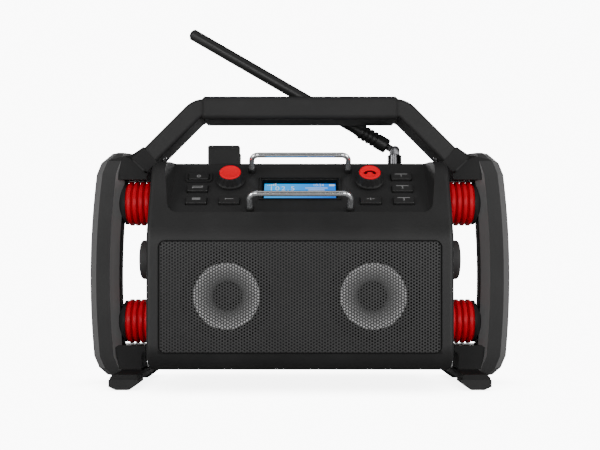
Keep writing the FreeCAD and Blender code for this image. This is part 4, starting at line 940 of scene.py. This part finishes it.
def screwHead(shape, place):
    look = screwLook
    head = bmesh.new()
    rim = bmesh.ops.create_circle(head, segments=36, radius=look["headRadius"] * mm)["verts"]
    skirt = bmesh.ops.extrude_edge_only(head, edges=head.edges[:])["geom"]
    skirtVerts = [part for part in skirt if isinstance(part, bmesh.types.BMVert)]
    bmesh.ops.translate(head, vec=(0, 0, look["headRise"] * 0.45 * mm), verts=skirtVerts)
    crown = [part for part in skirt if isinstance(part, bmesh.types.BMEdge)]
    dome = bmesh.ops.extrude_edge_only(head, edges=crown)["geom"]
    domeVerts = [part for part in dome if isinstance(part, bmesh.types.BMVert)]
    bmesh.ops.scale(head, vec=(0.78, 0.78, 1), verts=domeVerts)
    bmesh.ops.translate(head, vec=(0, 0, look["headRise"] * 0.55 * mm), verts=domeVerts)
    lobes = bmesh.ops.extrude_edge_only(head, edges=[part for part in dome if isinstance(part, bmesh.types.BMEdge)])["geom"]
    for corner in [part for part in lobes if isinstance(part, bmesh.types.BMVert)]:
        turn = math.atan2(corner.co.y, corner.co.x)
        reach = look["recessRadius"] * (1 + 0.16 * math.cos(6 * turn)) * mm
        corner.co.x, corner.co.y = reach * math.cos(turn), reach * math.sin(turn)
    wall = bmesh.ops.extrude_edge_only(head, edges=[part for part in lobes if isinstance(part, bmesh.types.BMEdge)])["geom"]
    bmesh.ops.translate(head, vec=(0, 0, -look["recessDepth"] * mm),
                        verts=[part for part in wall if isinstance(part, bmesh.types.BMVert)])
    bmesh.ops.contextual_create(head, geom=[part for part in wall if isinstance(part, bmesh.types.BMEdge)])
    bmesh.ops.recalc_face_normals(head, faces=head.faces)
    if sum(face.normal.z * face.calc_area() for face in head.faces) < 0:
        bmesh.ops.reverse_faces(head, faces=head.faces)
    joinInto(shape, moved(head, place))


def makeScrews():
    rear = bmesh.new()
    for x in (-137.5, 137.5):
        for height in (35.0, 206.0):
            place = Matrix.Translation((x * mm, 88.4 * mm, height * mm)) @ Matrix.Rotation(math.radians(-90), 4, "X")
            screwHead(rear, place)
    finished("rearScrewHeads", rear, "steelBlack", "housing", ("housing_screws",))
    arms = bmesh.new()
    for sign in (-1, 1):
        place = (Matrix.Translation((sign * 139.97 * mm, 0, 228.57 * mm))
                 @ Matrix.Rotation(math.radians(-135 * sign), 4, "Y"))
        screwHead(arms, place)
    finished("armScrewHeads", arms, "steel", "cage", ("handle_screws",))


makeScrews()
print("screws made")


# Light, floor, backdrop and the photograph's camera.
studio = {"cameraSpot": (0, -0.967, 0.110), "lens": 56.4, "shiftUp": 0.0833, "worldLight": 0.05,
          "backdropLight": 10.0, "floorShade": 0.5, "floorBounce": 0.3}

# where each softbox stands and what it points at, its width and height in metres, and its watts
softboxes = {
    "softboxLeft": ((-1.05, -0.7, 0.4), (-0.15, 0, 0.13), 0.45, 0.9, 9.0),
    "softboxRight": ((1.05, -0.7, 0.4), (0.15, 0, 0.13), 0.45, 0.9, 10.0),
    "softboxFrontLeft": ((-0.42, -1.4, 0.35), (0, 0, 0.12), 0.5, 0.6, 4.5),
    "softboxFrontRight": ((0.42, -1.4, 0.35), (0, 0, 0.12), 0.5, 0.6, 4.5),
    "softboxTop": ((0, -0.3, 1.2), (0, 0, 0.2), 1.1, 0.5, 1.0),
    "softboxBackLeft": ((-0.7, 1.3, 0.45), (0, 0, 0.13), 0.6, 0.8, 9.0),
    "softboxBackRight": ((0.7, 1.3, 0.45), (0, 0, 0.13), 0.6, 0.8, 9.0),
}


def addCamera():
    data = bpy.data.cameras.new("camera")
    data.lens = studio["lens"]
    data.sensor_width = 36
    data.shift_y = studio["shiftUp"]
    data.clip_start = 0.02
    camera = bpy.data.objects.new("camera", data)
    camera.location = studio["cameraSpot"]
    camera.rotation_euler = (math.radians(90), 0, 0)
    bpy.context.scene.collection.objects.link(camera)
    bpy.context.scene.camera = camera


def addSoftbox(name, spot, target, width, height, power):
    data = bpy.data.lights.new(name, "AREA")
    data.shape = "RECTANGLE"
    data.size, data.size_y, data.energy = width, height, power
    box = bpy.data.objects.new(name, data)
    box.location = spot
    box.rotation_euler = (Vector(target) - Vector(spot)).to_track_quat("-Z", "Y").to_euler()
    bpy.context.scene.collection.objects.link(box)


def addFloor():
    # as white as the backdrop to the camera, with a painted contact shadow close under the object, and dull to every
    # other ray
    bounce = studio["floorBounce"]
    finish = Finish("paleFloor", (bounce, bounce, bounce), 0.8)
    near = finish.node("AmbientOcclusion", {"samples": 16}, {"Distance": 0.05}, "AO")
    contactShadow = studio["floorShade"] + (1 - studio["floorShade"]) * near
    glow = finish.node("Emission", {}, {"Color": (1, 1, 1, 1), "Strength": studio["backdropLight"] * contactShadow})
    seen = finish.node("LightPath", output="Is Camera Ray")
    shader = Wire(finish, finish.shader.outputs[0])
    both = finish.node("MixShader", {}, {0: seen, 1: shader, 2: glow})
    finish.feed(finish.tree.nodes["Material Output"].inputs[0], both)
    mesh = bpy.data.meshes.new("floor")
    shape = bmesh.new()
    bmesh.ops.create_grid(shape, x_segments=1, y_segments=1, size=6.0)
    moved(shape, Matrix.Translation((0, 0, -0.2 * mm)))
    shape.to_mesh(mesh)
    shape.free()
    floor = bpy.data.objects.new("floor", mesh)
    mesh.materials.append(finish.material)
    bpy.context.scene.collection.objects.link(floor)


def addWorld():
    world = bpy.data.worlds.new("studio")
    world.use_nodes = True
    bpy.context.scene.world = world
    nodes, links = world.node_tree.nodes, world.node_tree.links
    seen = nodes.new("ShaderNodeBackground")
    seen.inputs[0].default_value, seen.inputs[1].default_value = (1, 1, 1, 1), studio["backdropLight"]
    lit = nodes["Background"]
    lit.inputs[0].default_value, lit.inputs[1].default_value = (1, 1, 1, 1), studio["worldLight"]
    path, blend = nodes.new("ShaderNodeLightPath"), nodes.new("ShaderNodeMixShader")
    links.new(path.outputs["Is Camera Ray"], blend.inputs[0])
    links.new(lit.outputs[0], blend.inputs[1])
    links.new(seen.outputs[0], blend.inputs[2])
    links.new(blend.outputs[0], nodes["World Output"].inputs[0])


addCamera()
addFloor()
addWorld()
for name, setting in softboxes.items():
    addSoftbox(name, *setting)
print("stage set")
